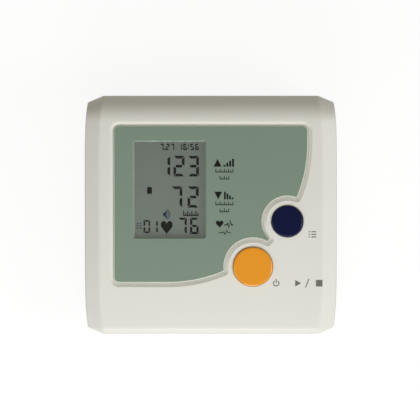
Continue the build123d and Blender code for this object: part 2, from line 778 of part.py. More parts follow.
def make_display():
    """The liquid crystal display: two glasses, a holder and a rubber contact strip."""
    glass_x = about(window_x, glass_width / 2)
    rear_height = glass_height - glass_ledge
    rear_y = window_y + glass_ledge / 2
    ledge_y = window_y - rear_height / 2
    with BuildPart() as display_glass_front:
        front_y = about(window_y, glass_height / 2)
        block(glass_x, front_y, below(glass_top, glass_joint), plane=face)
    save(display_glass_front, "display_glass_front")
    with BuildPart() as display_glass_rear:
        rear_depth = below(glass_joint, glass_bottom)
        block(glass_x, about(rear_y, rear_height / 2), rear_depth, plane=face)
    save(display_glass_rear, "display_glass_rear")
    with BuildPart() as display_connector_strip:
        strip_x = about(window_x, strip_length / 2)
        block(strip_x, about(ledge_y, strip_width / 2), below(glass_joint, board_depth), plane=face)
    save(display_connector_strip, "display_connector_strip")
    with BuildPart() as display_holder:
        depth = below(glass_top + holder_drop, board_depth)
        pocket_x = glass_width / 2 + fit_gap
        pocket_y = glass_height / 2 + fit_gap
        outer_x = about(window_x, pocket_x + holder_wall)
        block(outer_x, about(window_y, pocket_y + holder_wall), depth, plane=face)
        pocket = below(glass_top, glass_bottom)
        block(about(window_x, pocket_x), about(window_y, pocket_y), pocket, plane=face, mode=Mode.SUBTRACT)
        light_x = about(window_x, glass_width / 2 - holder_shelf)
        light_y = about(rear_y, rear_height / 2 - holder_shelf)
        block(light_x, light_y, depth, plane=face, mode=Mode.SUBTRACT)
        slot_x = about(window_x, strip_length / 2 + fit_gap)
        slot_y = about(ledge_y, strip_width / 2 + fit_gap)
        block(slot_x, slot_y, depth, plane=face, mode=Mode.SUBTRACT)
    save(display_holder, "display_holder")


def make_board_parts():
    """What stands on the board: pressure sensor, buzzer, controller, capacitors and small parts."""
    sensor_x, sensor_y = sensor_place()
    sensor_bottom = board_bottom + sensor_height
    with BuildPart() as pressure_sensor:
        side = sensor_side / 2
        sensor_depth = below(board_bottom, sensor_bottom)
        block(about(sensor_x, side), about(sensor_y, side), sensor_depth, plane=face)
        nipple = below(sensor_bottom, sensor_bottom + sensor_nipple)
        bar(spot(sensor_x, sensor_y), *nipple, nipple_radius, nipple_bore)
    save(pressure_sensor, "pressure_sensor")
    with BuildPart() as buzzer:
        top = board_depth - buzzer_height
        axis = spot(*buzzer_place, board_face)
        bar(axis, *below(top, board_depth), buzzer_radius)
        bar(axis, *below(top, top + buzzer_hole_depth), buzzer_hole, mode=Mode.SUBTRACT)
    save(buzzer, "buzzer")
    chip_x, chip_y = chip_place
    with BuildPart() as controller_chip:
        lid = board_bottom + chip_lift
        chip = (about(chip_x, chip_side / 2), about(chip_y, chip_side / 2))
        block(*chip, below(lid, lid + chip_height), plane=board_face)
    save(controller_chip, "controller_chip")
    with BuildPart() as controller_pins:
        with BuildSketch(board_face.offset(-board_bottom)):
            with Locations(chip_place):
                reach = chip_side + chip_pin_reach
                with GridLocations(chip_pin_pitch, reach, chip_pins, 2):
                    Rectangle(chip_pin_width, chip_pin_reach)
                with GridLocations(reach, chip_pin_pitch, 2, chip_pins):
                    Rectangle(chip_pin_reach, chip_pin_width)
        extrude(amount=-chip_pin_height)
    save(controller_pins, "controller_pins")
    with BuildPart() as capacitors:
        standing = below(board_bottom, board_bottom + capacitor_height)
        for place in capacitor_places:
            bar(spot(*place, board_face), *standing, capacitor_radius)
        fillet(capacitors.edges().group_by(face_axis)[0], radius=capacitor_edge)
    save(capacitors, "capacitors")
    with BuildPart() as small_components:
        with BuildSketch(board_face.offset(-board_bottom)):
            with Locations((board_width / 2 - resistor_inset, resistor_rise)):
                with GridLocations(*resistor_pitch, *resistor_count):
                    Rectangle(*resistor_size[:2])
        extrude(amount=-resistor_size[2])
    save(small_components, "small_components")
    with BuildPart() as lead_headers:
        width, height, drop = header_size
        for x, y in header_places.values():
            header = (about(air_x + x, width / 2), about(y, height / 2))
            block(*header, below(board_bottom, board_bottom + drop), plane=board_face)
    save(lead_headers, "lead_headers")


# ---------------------------------------------------------------- batteries
def cell_x(index):
    """Where a battery cell lies across the bay."""
    return bay_x + (index - (cell_count - 1) / 2) * cell_pitch


def cell_axis(index):
    """A battery cell's axis, starting at the contact that its raised end touches."""
    if index % 2:
        start, direction = bay_rear - contact_thickness, -1
    else:
        start, direction = bay_front + contact_thickness, 1
    return Plane(origin=(cell_x(index), start, cell_z), z_dir=(0, direction, 0))


def make_batteries():
    """Four cells lying side by side in turn end for end, with their springs and plates."""
    for index in range(cell_count):
        with BuildPart() as battery_cell:
            bar(cell_axis(index), cell_nub_length, cell_length, cell_radius)
            fillet(battery_cell.edges().filter_by(GeomType.CIRCLE), radius=cell_edge)
            bar(cell_axis(index), 0, cell_nub_length, cell_nub_radius)
        save(battery_cell, f"battery_cell_{index + 1}")
    with BuildPart() as battery_springs:
        for index in range(cell_count):
            spring_end = cell_length + spring_length
            coil(cell_axis(index), cell_length, spring_end, spring_radius, spring_wire, spring_turns)
    save(battery_springs, "battery_springs")
    height = about(cell_z, contact_half)
    front = (bay_front, bay_front + contact_thickness)
    rear = (bay_rear - contact_thickness, bay_rear)
    last = cell_count - 1
    with BuildPart() as battery_plates:
        for cell in range(0, cell_count, 2):
            block((cell_x(cell) - contact_half, cell_x(cell + 1) + contact_half), front, height)
        for cell in range(1, last, 2):
            block((cell_x(cell) - contact_half, cell_x(cell + 1) + contact_half), rear, height)
        for cell in (0, last):
            block(about(cell_x(cell), contact_half), rear, height)
            block(about(cell_x(cell), tab_half), rear, (cell_z, bay_roof + tab_rise))
    save(battery_plates, "battery_plates")


# ---------------------------------------------------------------- air pump
def make_motor():
    """The pump's motor: steel can, end cap, two magnets and the wound rotor on its shaft."""
    can_bore = pump_radius - can_wall
    with BuildPart() as motor_can:
        bar(air_axis, motor_front, motor_rear, pump_radius, shaft_radius + shaft_gap)
        bar(air_axis, motor_front, motor_rear - can_wall, can_bore, mode=Mode.SUBTRACT)
    save(motor_can, "motor_can")
    cap_front = motor_front - cap_thickness
    with BuildPart() as motor_end_cap:
        bar(air_axis, cap_front, motor_front, pump_radius)
        bar(air_axis, motor_front, motor_front + cap_plug, can_bore, can_bore - cap_plug_wall)
        bar(air_axis, cap_front - bearing_length, cap_front, bearing_radius)
        shaft_hole = shaft_radius + shaft_gap
        bar(air_axis, cap_front - bearing_length, motor_front, shaft_hole, mode=Mode.SUBTRACT)
    save(motor_end_cap, "motor_end_cap")
    with BuildPart() as motor_magnets:
        magnet = (motor_front + magnet_margin, motor_rear - magnet_margin)
        bar(air_axis, *magnet, can_bore, can_bore - magnet_thickness)
        split_x = about(0, pump_radius)
        block(split_x, about(0, magnet_split / 2), magnet, plane=air_axis, mode=Mode.SUBTRACT)
    save(motor_magnets, "motor_magnets")
    core = (motor_front + rotor_margin, motor_rear - rotor_margin)
    with BuildPart() as motor_rotor:
        with BuildSketch(air_axis.offset(core[0])):
            Circle(rotor_radius)
            with PolarLocations(rotor_radius - rotor_slot_depth / 2, rotor_slots):
                Rectangle(rotor_slot_depth, rotor_slot_width, mode=Mode.SUBTRACT)
        extrude(amount=core[1] - core[0])
        bar(air_axis, core[0] - winding_length, core[0], winding_radius)
        bar(air_axis, core[1], core[1] + winding_length, winding_radius)
        bar(air_axis, motor_front + cap_plug / 2, core[0], commutator_radius)
        bar(air_axis, cap_front - bearing_length / 2, motor_rear + shaft_reach, shaft_radius)
    save(motor_rotor, "motor_rotor")


def make_pump():
    """The pump on the motor's nose: crank, chamber, rubber diaphragm, head and the pad under it."""
    crank_end = motor_rear + chamber_wall + crank_gap
    with BuildPart() as pump_crank:
        bar(air_axis, crank_end, crank_end + crank_length, crank_radius)
        bar(air_axis, crank_end, motor_rear + shaft_reach, shaft_radius, mode=Mode.SUBTRACT)
        pin_axis = Plane(origin=(air_x + crank_pin_offset, 0, air_z), z_dir=(0, 1, 0))
        pin_start = crank_end + crank_length
        bar(pin_axis, pin_start, pin_start + crank_pin_length, crank_pin_radius)
    save(pump_crank, "pump_crank")
    with BuildPart() as pump_chamber:
        bar(air_axis, motor_rear, chamber_front, pump_radius)
        chamber = (motor_rear + chamber_wall, chamber_front)
        bar(air_axis, *chamber, pump_radius - chamber_wall, mode=Mode.SUBTRACT)
        bar(air_axis, motor_rear, chamber_front, shaft_radius + head_gap, mode=Mode.SUBTRACT)
    save(pump_chamber, "pump_chamber")
    with BuildPart() as pump_diaphragm:
        bar(air_axis, chamber_front, pump_cover_front, pump_radius - diaphragm_lip)
        with BuildSketch(air_axis.offset(chamber_front)):
            with PolarLocations(cup_circle, cup_count):
                Circle(cup_radius)
        extrude(amount=-cup_depth)
    save(pump_diaphragm, "pump_diaphragm")
    with BuildPart() as pump_head:
        bar(air_axis, pump_cover_front, pump_end, pump_radius)
        cavity = (pump_cover_front, pump_cover_front + pump_cover_cavity)
        bar(air_axis, *cavity, pump_radius - chamber_wall, mode=Mode.SUBTRACT)
        bar(air_axis, pump_end, pump_end + pump_port, nipple_radius)
        bar(air_axis, pump_cover_front, pump_end + pump_port, nipple_bore, mode=Mode.SUBTRACT)
    save(pump_head, "pump_head")
    with BuildPart() as pump_pad:
        pad_y = (motor_front + pad_margin, motor_rear - pad_margin)
        block(about(air_x, pad_half_width), pad_y, (floor_top, pad_top))
        bar(air_axis, *pad_y, pump_radius, mode=Mode.SUBTRACT)
    save(pump_pad, "pump_pad")


# ---------------------------------------------------------------- release valve
def make_valve():
    """The solenoid valve that lets the air out: nozzle, yoke, wound bobbin, plunger and spring."""
    with BuildPart() as valve_nozzle:
        bar(air_axis, valve_front, valve_body, valve_flange_radius)
        bar(air_axis, valve_front - arm_length, valve_front, nipple_radius)
        bar(air_axis, valve_body, valve_body + yoke_thickness, nipple_radius)
        bore = (valve_front - arm_length, valve_body + yoke_thickness)
        bar(air_axis, *bore, nipple_bore, mode=Mode.SUBTRACT)
    save(valve_nozzle, "valve_nozzle")
    with BuildPart() as valve_yoke:
        half = valve_side / 2
        block(about(air_x, half), (valve_body, valve_rear), about(air_z, half))
        inside = (valve_body + yoke_thickness, valve_rear - yoke_thickness)
        inside_z = about(air_z, half - yoke_thickness)
        block(about(air_x, half), inside, inside_z, mode=Mode.SUBTRACT)
        hole = nipple_radius + fit_gap
        bar(air_axis, valve_body, valve_body + yoke_thickness, hole, mode=Mode.SUBTRACT)
    save(valve_yoke, "valve_yoke")
    with BuildPart() as valve_bobbin:
        cheek_x, cheek_z = about(air_x, coil_half), about(air_z, coil_half)
        block(cheek_x, (coil_front, coil_front + bobbin_flange), cheek_z)
        block(cheek_x, (coil_rear - bobbin_flange, coil_rear), cheek_z)
        bar(air_axis, coil_front, coil_rear, bobbin_core)
        bar(air_axis, coil_front, coil_rear, bobbin_bore, mode=Mode.SUBTRACT)
        width, depth, height = terminal_block
        side_x = (air_x + coil_half, air_x + coil_half + width)
        block(side_x, (coil_front, coil_front + depth), about(air_z, height / 2))
    save(valve_bobbin, "valve_bobbin")
    with BuildPart() as valve_winding:
        turns = (coil_front + bobbin_flange, coil_rear - bobbin_flange)
        bar(air_axis, *turns, winding_outer, bobbin_core)
    save(valve_winding, "valve_winding")
    tip = valve_body + yoke_thickness + plunger_play
    spring_start = valve_rear - yoke_thickness - valve_spring_length
    with BuildPart() as valve_plunger:
        bar(air_axis, tip, spring_start, valve_plunger_radius)
        fillet(valve_plunger.edges().filter_by(GeomType.CIRCLE), radius=valve_plunger_edge)
    save(valve_plunger, "valve_plunger")
    with BuildPart() as valve_spring:
        spring = (spring_start, spring_start + valve_spring_length)
        coil(air_axis, *spring, valve_spring_radius, valve_spring_wire, valve_spring_turns)
    save(valve_spring, "valve_spring")


# ---------------------------------------------------------------- air lines and sockets
def sensor_place():
    """Where on the face the sensor sits, so that its nipple points at the manifold's upright arm."""
    bend = face.to_local_coords(hub + Vector(0, 0, hub_reach + arm_length))
    return bend.X, bend.Y


def make_manifold():
    """The four-way piece that joins pump, valve, sensor and socket."""
    arms = [Plane(origin=hub, z_dir=way) for way in ((0, -1, 0), (0, 1, 0), (0, 0, 1), (-1, 0, 0))]
    with BuildPart() as air_manifold:
        for arm in arms:
            bar(arm, 0, hub_reach, hub_radius)
            bar(arm, 0, hub_reach + arm_length, nipple_radius)
        for arm in arms:
            bar(arm, 0, hub_reach + arm_length, nipple_bore, mode=Mode.SUBTRACT)
    save(air_manifold, "air_manifold")


def make_tubes():
    """Four lengths of silicone tube between the manifold and what it feeds."""
    pump_arm = Plane(origin=hub, z_dir=(0, -1, 0))
    valve_arm = Plane(origin=hub, z_dir=(0, 1, 0))
    socket_arm = Plane(origin=hub, z_dir=(-1, 0, 0))
    x, y = sensor_place()
    sensor_bottom = board_bottom + sensor_height
    start = hub + Vector(0, 0, hub_end)
    bend = hub + Vector(0, 0, hub_reach + arm_length)
    finish = face.from_local_coords((x, y, -(sensor_bottom + tube_gap)))
    with BuildPart() as air_tubes:
        bar(pump_arm, hub_end, hub_y - pump_end - tube_gap, tube_radius, tube_bore)
        bar(valve_arm, hub_end, valve_front - hub_y - tube_gap, tube_radius, tube_bore)
        bar(socket_arm, hub_end, socket_end + air_x - tube_gap, tube_radius, tube_bore)
        with BuildLine() as path:
            FilletPolyline(start, bend, finish, radius=bend_radii([start, bend, finish]))
        with BuildSketch(Plane(origin=path.line @ 0, z_dir=path.line % 0)):
            Circle(tube_radius)
            Circle(tube_bore, mode=Mode.SUBTRACT)
        sweep(path=path.line)
    save(air_tubes, "air_tubes")


def make_air_socket():
    """The socket in the left cheek that a cuff's hose plug pushes into, with gasket and nut."""
    with BuildPart() as air_socket:
        bar(socket_axis, half_width - socket_flange, half_width, socket_flange_radius)
        bar(socket_axis, socket_end, half_width, socket_radius)
        bar(socket_axis, socket_end - socket_port, socket_end, nipple_radius)
        bar(socket_axis, half_width - socket_bore_depth, half_width, socket_bore, mode=Mode.SUBTRACT)
        bar(socket_axis, socket_end - socket_port, half_width, nipple_bore, mode=Mode.SUBTRACT)
    save(air_socket, "air_socket")
    gasket_end = socket_inner - gasket_thickness
    with BuildPart() as air_socket_gasket:
        bar(socket_axis, gasket_end, socket_inner, gasket_radius, socket_radius + fit_gap)
    save(air_socket_gasket, "air_socket_gasket")
    with BuildPart() as air_socket_nut:
        with BuildSketch(socket_axis.offset(gasket_end - nut_thickness)):
            RegularPolygon(nut_across_flats / 2, nut_sides, major_radius=False)
            Circle(socket_radius + thread_gap, mode=Mode.SUBTRACT)
        extrude(amount=nut_thickness)
    save(air_socket_nut, "air_socket_nut")


def make_power_socket():
    """The socket for a mains adapter's barrel plug, behind a hole in the rear wall."""
    jack_front = jack_face - jack_length
    well = jack_face - jack_bore_depth
    with BuildPart() as power_socket:
        body_x, body_z = about(jack_x, jack_width / 2), about(jack_z, jack_height / 2)
        block(body_x, (jack_front, jack_face), body_z)
        bar(jack_axis, well, jack_face, jack_bore, mode=Mode.SUBTRACT)
        bar(jack_axis, well - jack_pin_root, well, jack_pin_radius, mode=Mode.SUBTRACT)
    save(power_socket, "power_socket")
    with BuildPart() as power_socket_pin:
        bar(jack_axis, well - jack_pin_root, jack_face - jack_pin_setback, jack_pin_radius)
        fillet(power_socket_pin.edges().group_by(Axis.Y)[-1], radius=jack_pin_radius / 2)
    save(power_socket_pin, "power_socket_pin")


# ---------------------------------------------------------------- leads
def bend_radii(points):
    """For each corner of a route, the largest bend that its two runs leave room for."""
    radii = []
    for before, corner, after in zip(points, points[1:], points[2:]):
        arrive, leave = corner - before, after - corner
        turn = radians(arrive.get_angle(leave))
        radii.append(bend_share * min(arrive.length, leave.length) / tan(turn / 2))
    return radii


def pin_x(header, side):
    """Where a header's pin lies across the board."""
    return air_x + header_places[header][0] + side * lead_pitch / 2


def lead(header, side, *corners):
    """One wire from its first corner to a pin of a header under the board."""
    pin = (pin_x(header, side), header_places[header][1])
    approach = board_face.from_local_coords(Vector(*pin, -(header_bottom + lead_drop)))
    entry = board_face.from_local_coords(Vector(*pin, -header_bottom))
    points = [Vector(*corner) for corner in corners] + [approach, entry]
    radii = bend_radii(points)
    print(f"{header} lead, bend radii:", [round(radius, 1) for radius in radii])
    with BuildLine() as path:
        FilletPolyline(*points, radius=radii)
    with BuildSketch(Plane(origin=path.line @ 0, z_dir=path.line % 0)) as section:
        Circle(lead_radius)
    sweep(section.sketch, path=path.line)


def make_leads():
    """The four pairs of wires from pump, valve, power socket and batteries to the board."""
    sides = (-1, 1)
    cap_face = motor_front - cap_thickness
    with BuildPart() as pump_leads:
        y = cap_face - pump_lead_reach
        for side in sides:
            z = air_z - side * terminal_offset
            lead("pump", side, (air_x, cap_face, z), (air_x, y, z), (pin_x("pump", side), y, z))
    save(pump_leads, "pump_leads")
    with BuildPart() as valve_leads:
        width, depth, height = terminal_block
        x = air_x + coil_half + width - terminal_inset
        for side in sides:
            y = coil_front + depth / 2 + side * lead_pitch / 2
            lead("valve", side, (x, y, air_z + height / 2), (x, y, valve_lead_z))
    save(valve_leads, "valve_leads")
    jack_front = jack_face - jack_length
    with BuildPart() as power_leads:
        y = jack_front - jack_lead_reach
        for side in sides:
            x = jack_x + side * jack_lead_offset
            lead("jack", side, (x, jack_front, jack_z), (x, y, jack_z), (x, y, jack_lead_z))
    save(power_leads, "power_leads")
    with BuildPart() as battery_leads:
        y = bay_rear - contact_thickness / 2
        for side, cell in zip(sides, (0, cell_count - 1)):
            x = cell_x(cell)
            lead("battery", side, (x, y, bay_roof + tab_rise), (x, y, battery_lead_z))
    save(battery_leads, "battery_leads")


# ---------------------------------------------------------------- the whole monitor
os.makedirs("parts", exist_ok=True)
outer_form = case_form()
middle_form = case_form(wall / 2)
inner_form = case_form(wall)
make_top_case(outer_form, middle_form, inner_form)
make_bottom_case(outer_form, middle_form, inner_form)
make_battery_door(outer_form)
make_feet_and_screws()
make_faceplate()
make_display_window()
for key in keys:
    make_button(key)
    make_switch(key)
make_board()
make_display()
make_board_parts()
make_batteries()
make_motor()
make_pump()
make_valve()
make_manifold()
make_tubes()
make_air_socket()
make_power_socket()
make_leads()
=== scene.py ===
"""Finishes, printed marks, display and studio for a desktop blood pressure monitor.

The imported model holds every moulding, screw and wire at its real size. This script dresses those
solids, adds the thin things that have no solid of their own (printed marks, and the figures and signs
of the display), and sets up a plain studio. Blender's unit is the metre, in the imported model's frame,
and sizes written here are millimetres unless they say otherwise.
"""

from __future__ import annotations

import json
import logging
import math
from dataclasses import dataclass, field, replace
from enum import Enum
from typing import Any, ClassVar, NamedTuple

import bmesh
import bpy
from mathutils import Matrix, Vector

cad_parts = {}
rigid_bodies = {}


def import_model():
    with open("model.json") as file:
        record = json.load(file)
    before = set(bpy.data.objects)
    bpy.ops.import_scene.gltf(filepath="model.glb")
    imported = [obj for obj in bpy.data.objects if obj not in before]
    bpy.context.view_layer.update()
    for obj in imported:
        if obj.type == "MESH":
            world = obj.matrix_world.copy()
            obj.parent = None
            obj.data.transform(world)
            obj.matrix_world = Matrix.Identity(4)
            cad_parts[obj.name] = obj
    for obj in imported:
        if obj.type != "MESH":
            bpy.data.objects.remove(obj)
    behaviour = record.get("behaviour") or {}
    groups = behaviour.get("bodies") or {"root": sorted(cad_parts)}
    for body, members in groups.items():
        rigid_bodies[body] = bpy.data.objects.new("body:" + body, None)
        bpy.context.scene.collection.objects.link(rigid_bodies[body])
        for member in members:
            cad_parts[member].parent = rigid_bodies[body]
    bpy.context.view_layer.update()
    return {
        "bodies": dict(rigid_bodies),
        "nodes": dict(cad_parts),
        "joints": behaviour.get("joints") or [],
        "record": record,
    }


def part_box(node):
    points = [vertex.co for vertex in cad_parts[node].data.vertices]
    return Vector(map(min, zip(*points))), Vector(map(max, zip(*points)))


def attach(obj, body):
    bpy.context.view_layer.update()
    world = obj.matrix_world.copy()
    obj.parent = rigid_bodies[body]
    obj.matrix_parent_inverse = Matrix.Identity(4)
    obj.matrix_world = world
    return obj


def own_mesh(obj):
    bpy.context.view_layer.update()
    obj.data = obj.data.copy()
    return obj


MM = 0.001
log = logging.getLogger("monitor")

Colour = tuple[float, float, float, float]
Point = tuple[float, float]
Outline = list[Point]
Settings = dict[str | int, Any]

# A Mix node's two colours and its result, by number: by name they can't be told from its other kinds.
MIX_A, MIX_B, MIX_RESULT = 6, 7, 2
# A wave texture of scale 1 runs through this many radians in one unit of length.
WAVE_RADIANS = 20
# The least cosine of half a bend that a drawn line's corner is worked out with, so that it can't spike.
MITRE_LIMIT = 0.5


class Body(Enum):
    """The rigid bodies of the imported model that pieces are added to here."""

    CASE = "case"


# ---------------------------------------------------------------- colour and nodes
def linear(code: str) -> Colour:
    """Turn an sRGB hex value into the linear colour that shaders take.

    Args:
        code: the colour as "#RRGGBB".

    Returns:
        Linear red, green and blue, with an opaque alpha.
    """
    channels = [int(code[start : start + 2], 16) / 255 for start in (1, 3, 5)]
    # The sRGB curve: a straight part near black, then a power.
    red, green, blue = (c / 12.92 if c <= 0.04045 else ((c + 0.055) / 1.055) ** 2.4 for c in channels)
    return (red, green, blue, 1.0)


def add_node(
    tree: bpy.types.NodeTree, kind: str, settings: Settings | None = None, links: Settings | None = None
) -> bpy.types.Node:
    """Add a node to a tree, with its settings and links.

    Args:
        tree: the node tree that gets the node.
        kind: the node's type, without the leading "ShaderNode".
        settings: values of its inputs or of its own properties, by name or input number.
        links: output sockets that feed its inputs, by input name or number.

    Returns:
        The new node.
    """
    node = tree.nodes.new(f"ShaderNode{kind}")
    for name, value in (settings or {}).items():
        if isinstance(name, int) or name in node.inputs:
            node.inputs[name].default_value = value
        else:
            setattr(node, name, value)
    for name, socket in (links or {}).items():
        tree.links.new(socket, node.inputs[name])
    return node


# ---------------------------------------------------------------- finishes
class Canvas(NamedTuple):
    """What a material is built on: its tree, its shader and the socket that gives each point's place."""

    tree: bpy.types.NodeTree
    shader: bpy.types.Node
    place: bpy.types.NodeSocket


@dataclass(frozen=True)
class Finish:
    """A material, named for what it is made of and how its surface was made."""

    name: str
    colour: str
    roughness: float = 0.5
    ior: float = 1.5
    shine: float = 0.5

    def build(self) -> bpy.types.Material:
        """Make the material, or find it if it is already made.

        Returns:
            The material.
        """
        known = bpy.data.materials.get(self.name)
        if known:
            return known
        material = bpy.data.materials.new(self.name)
        material.use_nodes = True
        tree = material.node_tree
        tree.nodes.clear()
        plain = {
            "Base Color": linear(self.colour),
            "Roughness": self.roughness,
            "IOR": self.ior,
            "Specular IOR Level": self.shine,
        }
        shader = add_node(tree, "BsdfPrincipled", plain)
        place = add_node(tree, "TexCoord").outputs["Object"]
        surface = self.pattern(Canvas(tree, shader, place))
        add_node(tree, "OutputMaterial", links={"Surface": surface})
        return material

    def pattern(self, canvas: Canvas) -> bpy.types.NodeSocket:
        """Add what the surface shows, and return the shader's output."""
        return canvas.shader.outputs["BSDF"]


@dataclass(frozen=True)
class Grained(Finish):
    """A surface with a fine grain and a faint, broad unevenness of colour and gloss."""

    shade: str = ""
    mottle: float = 30.0
    grain: float = 0.9
    grain_depth: float = 0.01
    gloss_spread: float = 0.05
    edge: float = 0.0
    coat: float = 0.0
    coat_roughness: float = 0.12
    # A glow is painted light: the surface shines though it is no lamp.
    glow: float = 0.0

    def pattern(self, canvas: Canvas) -> bpy.types.NodeSocket:
        """Mix two close colours in broad patches, and bump the surface with the grain.

        Args:
            canvas: the material's tree, shader and places.

        Returns:
            The shader's output.
        """
        tree, shader, place = canvas
        shader.inputs["Emission Color"].default_value = linear(self.colour)
        shader.inputs["Emission Strength"].default_value = self.glow
        shader.inputs["Coat Weight"].default_value = self.coat
        shader.inputs["Coat Roughness"].default_value = self.coat_roughness
        patches = {"Scale": 1 / (self.mottle * MM), "Detail": 3.0, "Roughness": 0.6}
        broad = add_node(tree, "TexNoise", patches, {"Vector": place}).outputs["Fac"]
        shade = linear(self.shade or self.colour)
        colours = {"data_type": "RGBA", MIX_A: linear(self.colour), MIX_B: shade}
        mix = add_node(tree, "Mix", colours, {0: broad})
        tree.links.new(mix.outputs[MIX_RESULT], shader.inputs["Base Color"])
        gloss = {
            "To Min": self.roughness - self.gloss_spread,
            "To Max": self.roughness + self.gloss_spread,
        }
        rough = add_node(tree, "MapRange", gloss, {"Value": broad})
        tree.links.new(rough.outputs["Result"], shader.inputs["Roughness"])
        pits = {"Scale": 1 / (self.grain * MM), "Detail": 2.0}
        fine = add_node(tree, "TexNoise", pits, {"Vector": place}).outputs["Fac"]
        relief = {"Height": fine}
        if self.edge:
            softened = add_node(tree, "Bevel", {"samples": 4, "Radius": self.edge * MM})
            relief["Normal"] = softened.outputs["Normal"]
            tree.links.new(softened.outputs["Normal"], shader.inputs["Coat Normal"])
        bump = add_node(tree, "Bump", {"Distance": self.grain_depth * MM}, relief)
        tree.links.new(bump.outputs["Normal"], shader.inputs["Normal"])
        return shader.outputs["BSDF"]


@dataclass(frozen=True)
class CoatWithRimHighlight(Grained):
    """A coat sprayed on a plate's face and round its window, with its bevelled outer rim painted pale
    grey as a painted highlight.

    The window's middle and half its size are in metres, as the places are that the shader gets.
    """

    rim_highlight_colour: str = "#D2D3CA"
    upright: float = 0.9
    window_middle: Point = (0.0, 0.0)
    window_reach: Point = (0.0, 0.0)

    def pattern(self, canvas: Canvas) -> bpy.types.NodeSocket:
        """Paint a pale highlight where the surface leans further than the face, away from the window.

        Args:
            canvas: the material's tree, shader and places.

        Returns:
            The shader's output.
        """
        tree, shader, place = canvas
        surface = super().pattern(canvas)
        coated = shader.inputs["Base Color"].links[0].from_socket
        normal = add_node(tree, "NewGeometry").outputs["True Normal"]
        rise = add_node(tree, "SeparateXYZ", links={0: normal}).outputs["Z"]
        leans = {"operation": "LESS_THAN", 1: self.upright}
        leaning = add_node(tree, "Math", leans, {0: rise}).outputs[0]
        across, along, _ = add_node(tree, "SeparateXYZ", links={0: place}).outputs
        near = [
            add_node(tree, "Math", {"operation": "COMPARE", 1: middle, 2: reach}, {0: way}).outputs[0]
            for way, middle, reach in zip((across, along), self.window_middle, self.window_reach)
        ]
        by_window = add_node(tree, "Math", {"operation": "MULTIPLY"}, dict(enumerate(near))).outputs[0]
        # The leaning rim, away from the window, is painted pale grey: a painted highlight.
        outer = {"operation": "SUBTRACT", "use_clamp": True}
        rim = add_node(tree, "Math", outer, {0: leaning, 1: by_window}).outputs[0]
        highlight_settings = {"data_type": "RGBA", MIX_B: linear(self.rim_highlight_colour)}
        mix = add_node(tree, "Mix", highlight_settings, {0: rim, MIX_A: coated})
        tree.links.new(mix.outputs[MIX_RESULT], shader.inputs["Base Color"])
        return surface


@dataclass(frozen=True)
class Metal(Finish):
    """A plated or drawn metal, with fine marks that run along one direction."""

    marks: tuple[float, float, float] = (0.3, 0.3, 0.3)
    mark_depth: float = 0.004
    gloss_share: float = 0.3

    def pattern(self, canvas: Canvas) -> bpy.types.NodeSocket:
        """Stretch a noise along the marks for gloss and relief.

        Args:
            canvas: the material's tree, shader and places.

        Returns:
            The shader's output.
        """
        tree, shader, place = canvas
        shader.inputs["Metallic"].default_value = 1.0
        stretch = {"Scale": tuple(1 / (size * MM) for size in self.marks)}
        run = add_node(tree, "Mapping", stretch, {"Vector": place}).outputs["Vector"]
        noise = {"Scale": 1.0, "Detail": 3.0}
        lines = add_node(tree, "TexNoise", noise, {"Vector": run}).outputs["Fac"]
        gloss = {
            "To Min": self.roughness * (1 - self.gloss_share),
            "To Max": self.roughness * (1 + self.gloss_share),
        }
        rough = add_node(tree, "MapRange", gloss, {"Value": lines})
        tree.links.new(rough.outputs["Result"], shader.inputs["Roughness"])
        bump = add_node(tree, "Bump", {"Distance": self.mark_depth * MM}, {"Height": lines})
        tree.links.new(bump.outputs["Normal"], shader.inputs["Normal"])
        return shader.outputs["BSDF"]


@dataclass(frozen=True)
class Clear(Finish):
    """A polished clear sheet. Lamps shine through it, as they do through a thin real one."""

    def pattern(self, canvas: Canvas) -> bpy.types.NodeSocket:
        """Let light through, and let shadow rays pass.

        Args:
            canvas: the material's tree, shader and places.

        Returns:
            The shader's output.
        """
        tree, shader, _ = canvas
        shader.inputs["Transmission Weight"].default_value = 1.0
        rays = add_node(tree, "LightPath").outputs["Is Shadow Ray"]
        open_way = add_node(tree, "BsdfTransparent", {"Color": linear(self.colour)}).outputs["BSDF"]
        both = add_node(tree, "MixShader", links={0: rays, 1: shader.outputs["BSDF"], 2: open_way})
        return both.outputs["Shader"]


@dataclass(frozen=True)
class Islands(Finish):
    """Small parts of one kind whose colour differs from one to the next."""

    others: tuple[str, ...] = ()

    def pattern(self, canvas: Canvas) -> bpy.types.NodeSocket:
        """Pick one of the colours for each separate solid.

        Args:
            canvas: the material's tree, shader and places.

        Returns:
            The shader's output.
        """
        tree, shader, _ = canvas
        chance = add_node(tree, "NewGeometry").outputs["Random Per Island"]
        ramp = add_node(tree, "ValToRGB", links={"Fac": chance})
        ramp.color_ramp.interpolation = "CONSTANT"
        colours = (self.colour, *self.others)
        for index, code in enumerate(colours):
            stops = ramp.color_ramp.elements
            stop = stops[index] if index < len(stops) else stops.new(index / len(colours))
            stop.position = index / len(colours)
            stop.color = linear(code)
        tree.links.new(ramp.outputs["Color"], shader.inputs["Base Color"])
        return shader.outputs["BSDF"]


@dataclass(frozen=True)
class Wound(Finish):
    """Enamelled wire laid turn beside turn, with the turns running round an axis along Y."""

    wire: float = 0.5
    bare_metal: float = 0.8
    ridge_share: float = 0.25

    def pattern(self, canvas: Canvas) -> bpy.types.NodeSocket:
        """Ridge the surface once for each turn of wire.

        Args:
            canvas: the material's tree, shader and places.

        Returns:
            The shader's output.
        """
        tree, shader, place = canvas
        shader.inputs["Metallic"].default_value = self.bare_metal
        turns = {"bands_direction": "Y", "Scale": math.tau / (WAVE_RADIANS * self.wire * MM)}
        ridges = add_node(tree, "TexWave", turns, {"Vector": place}).outputs["Fac"]
        ridge = {"Distance": self.wire * MM * self.ridge_share}
        bump = add_node(tree, "Bump", ridge, {"Height": ridges})
        tree.links.new(bump.outputs["Normal"], shader.inputs["Normal"])
        return shader.outputs["BSDF"]


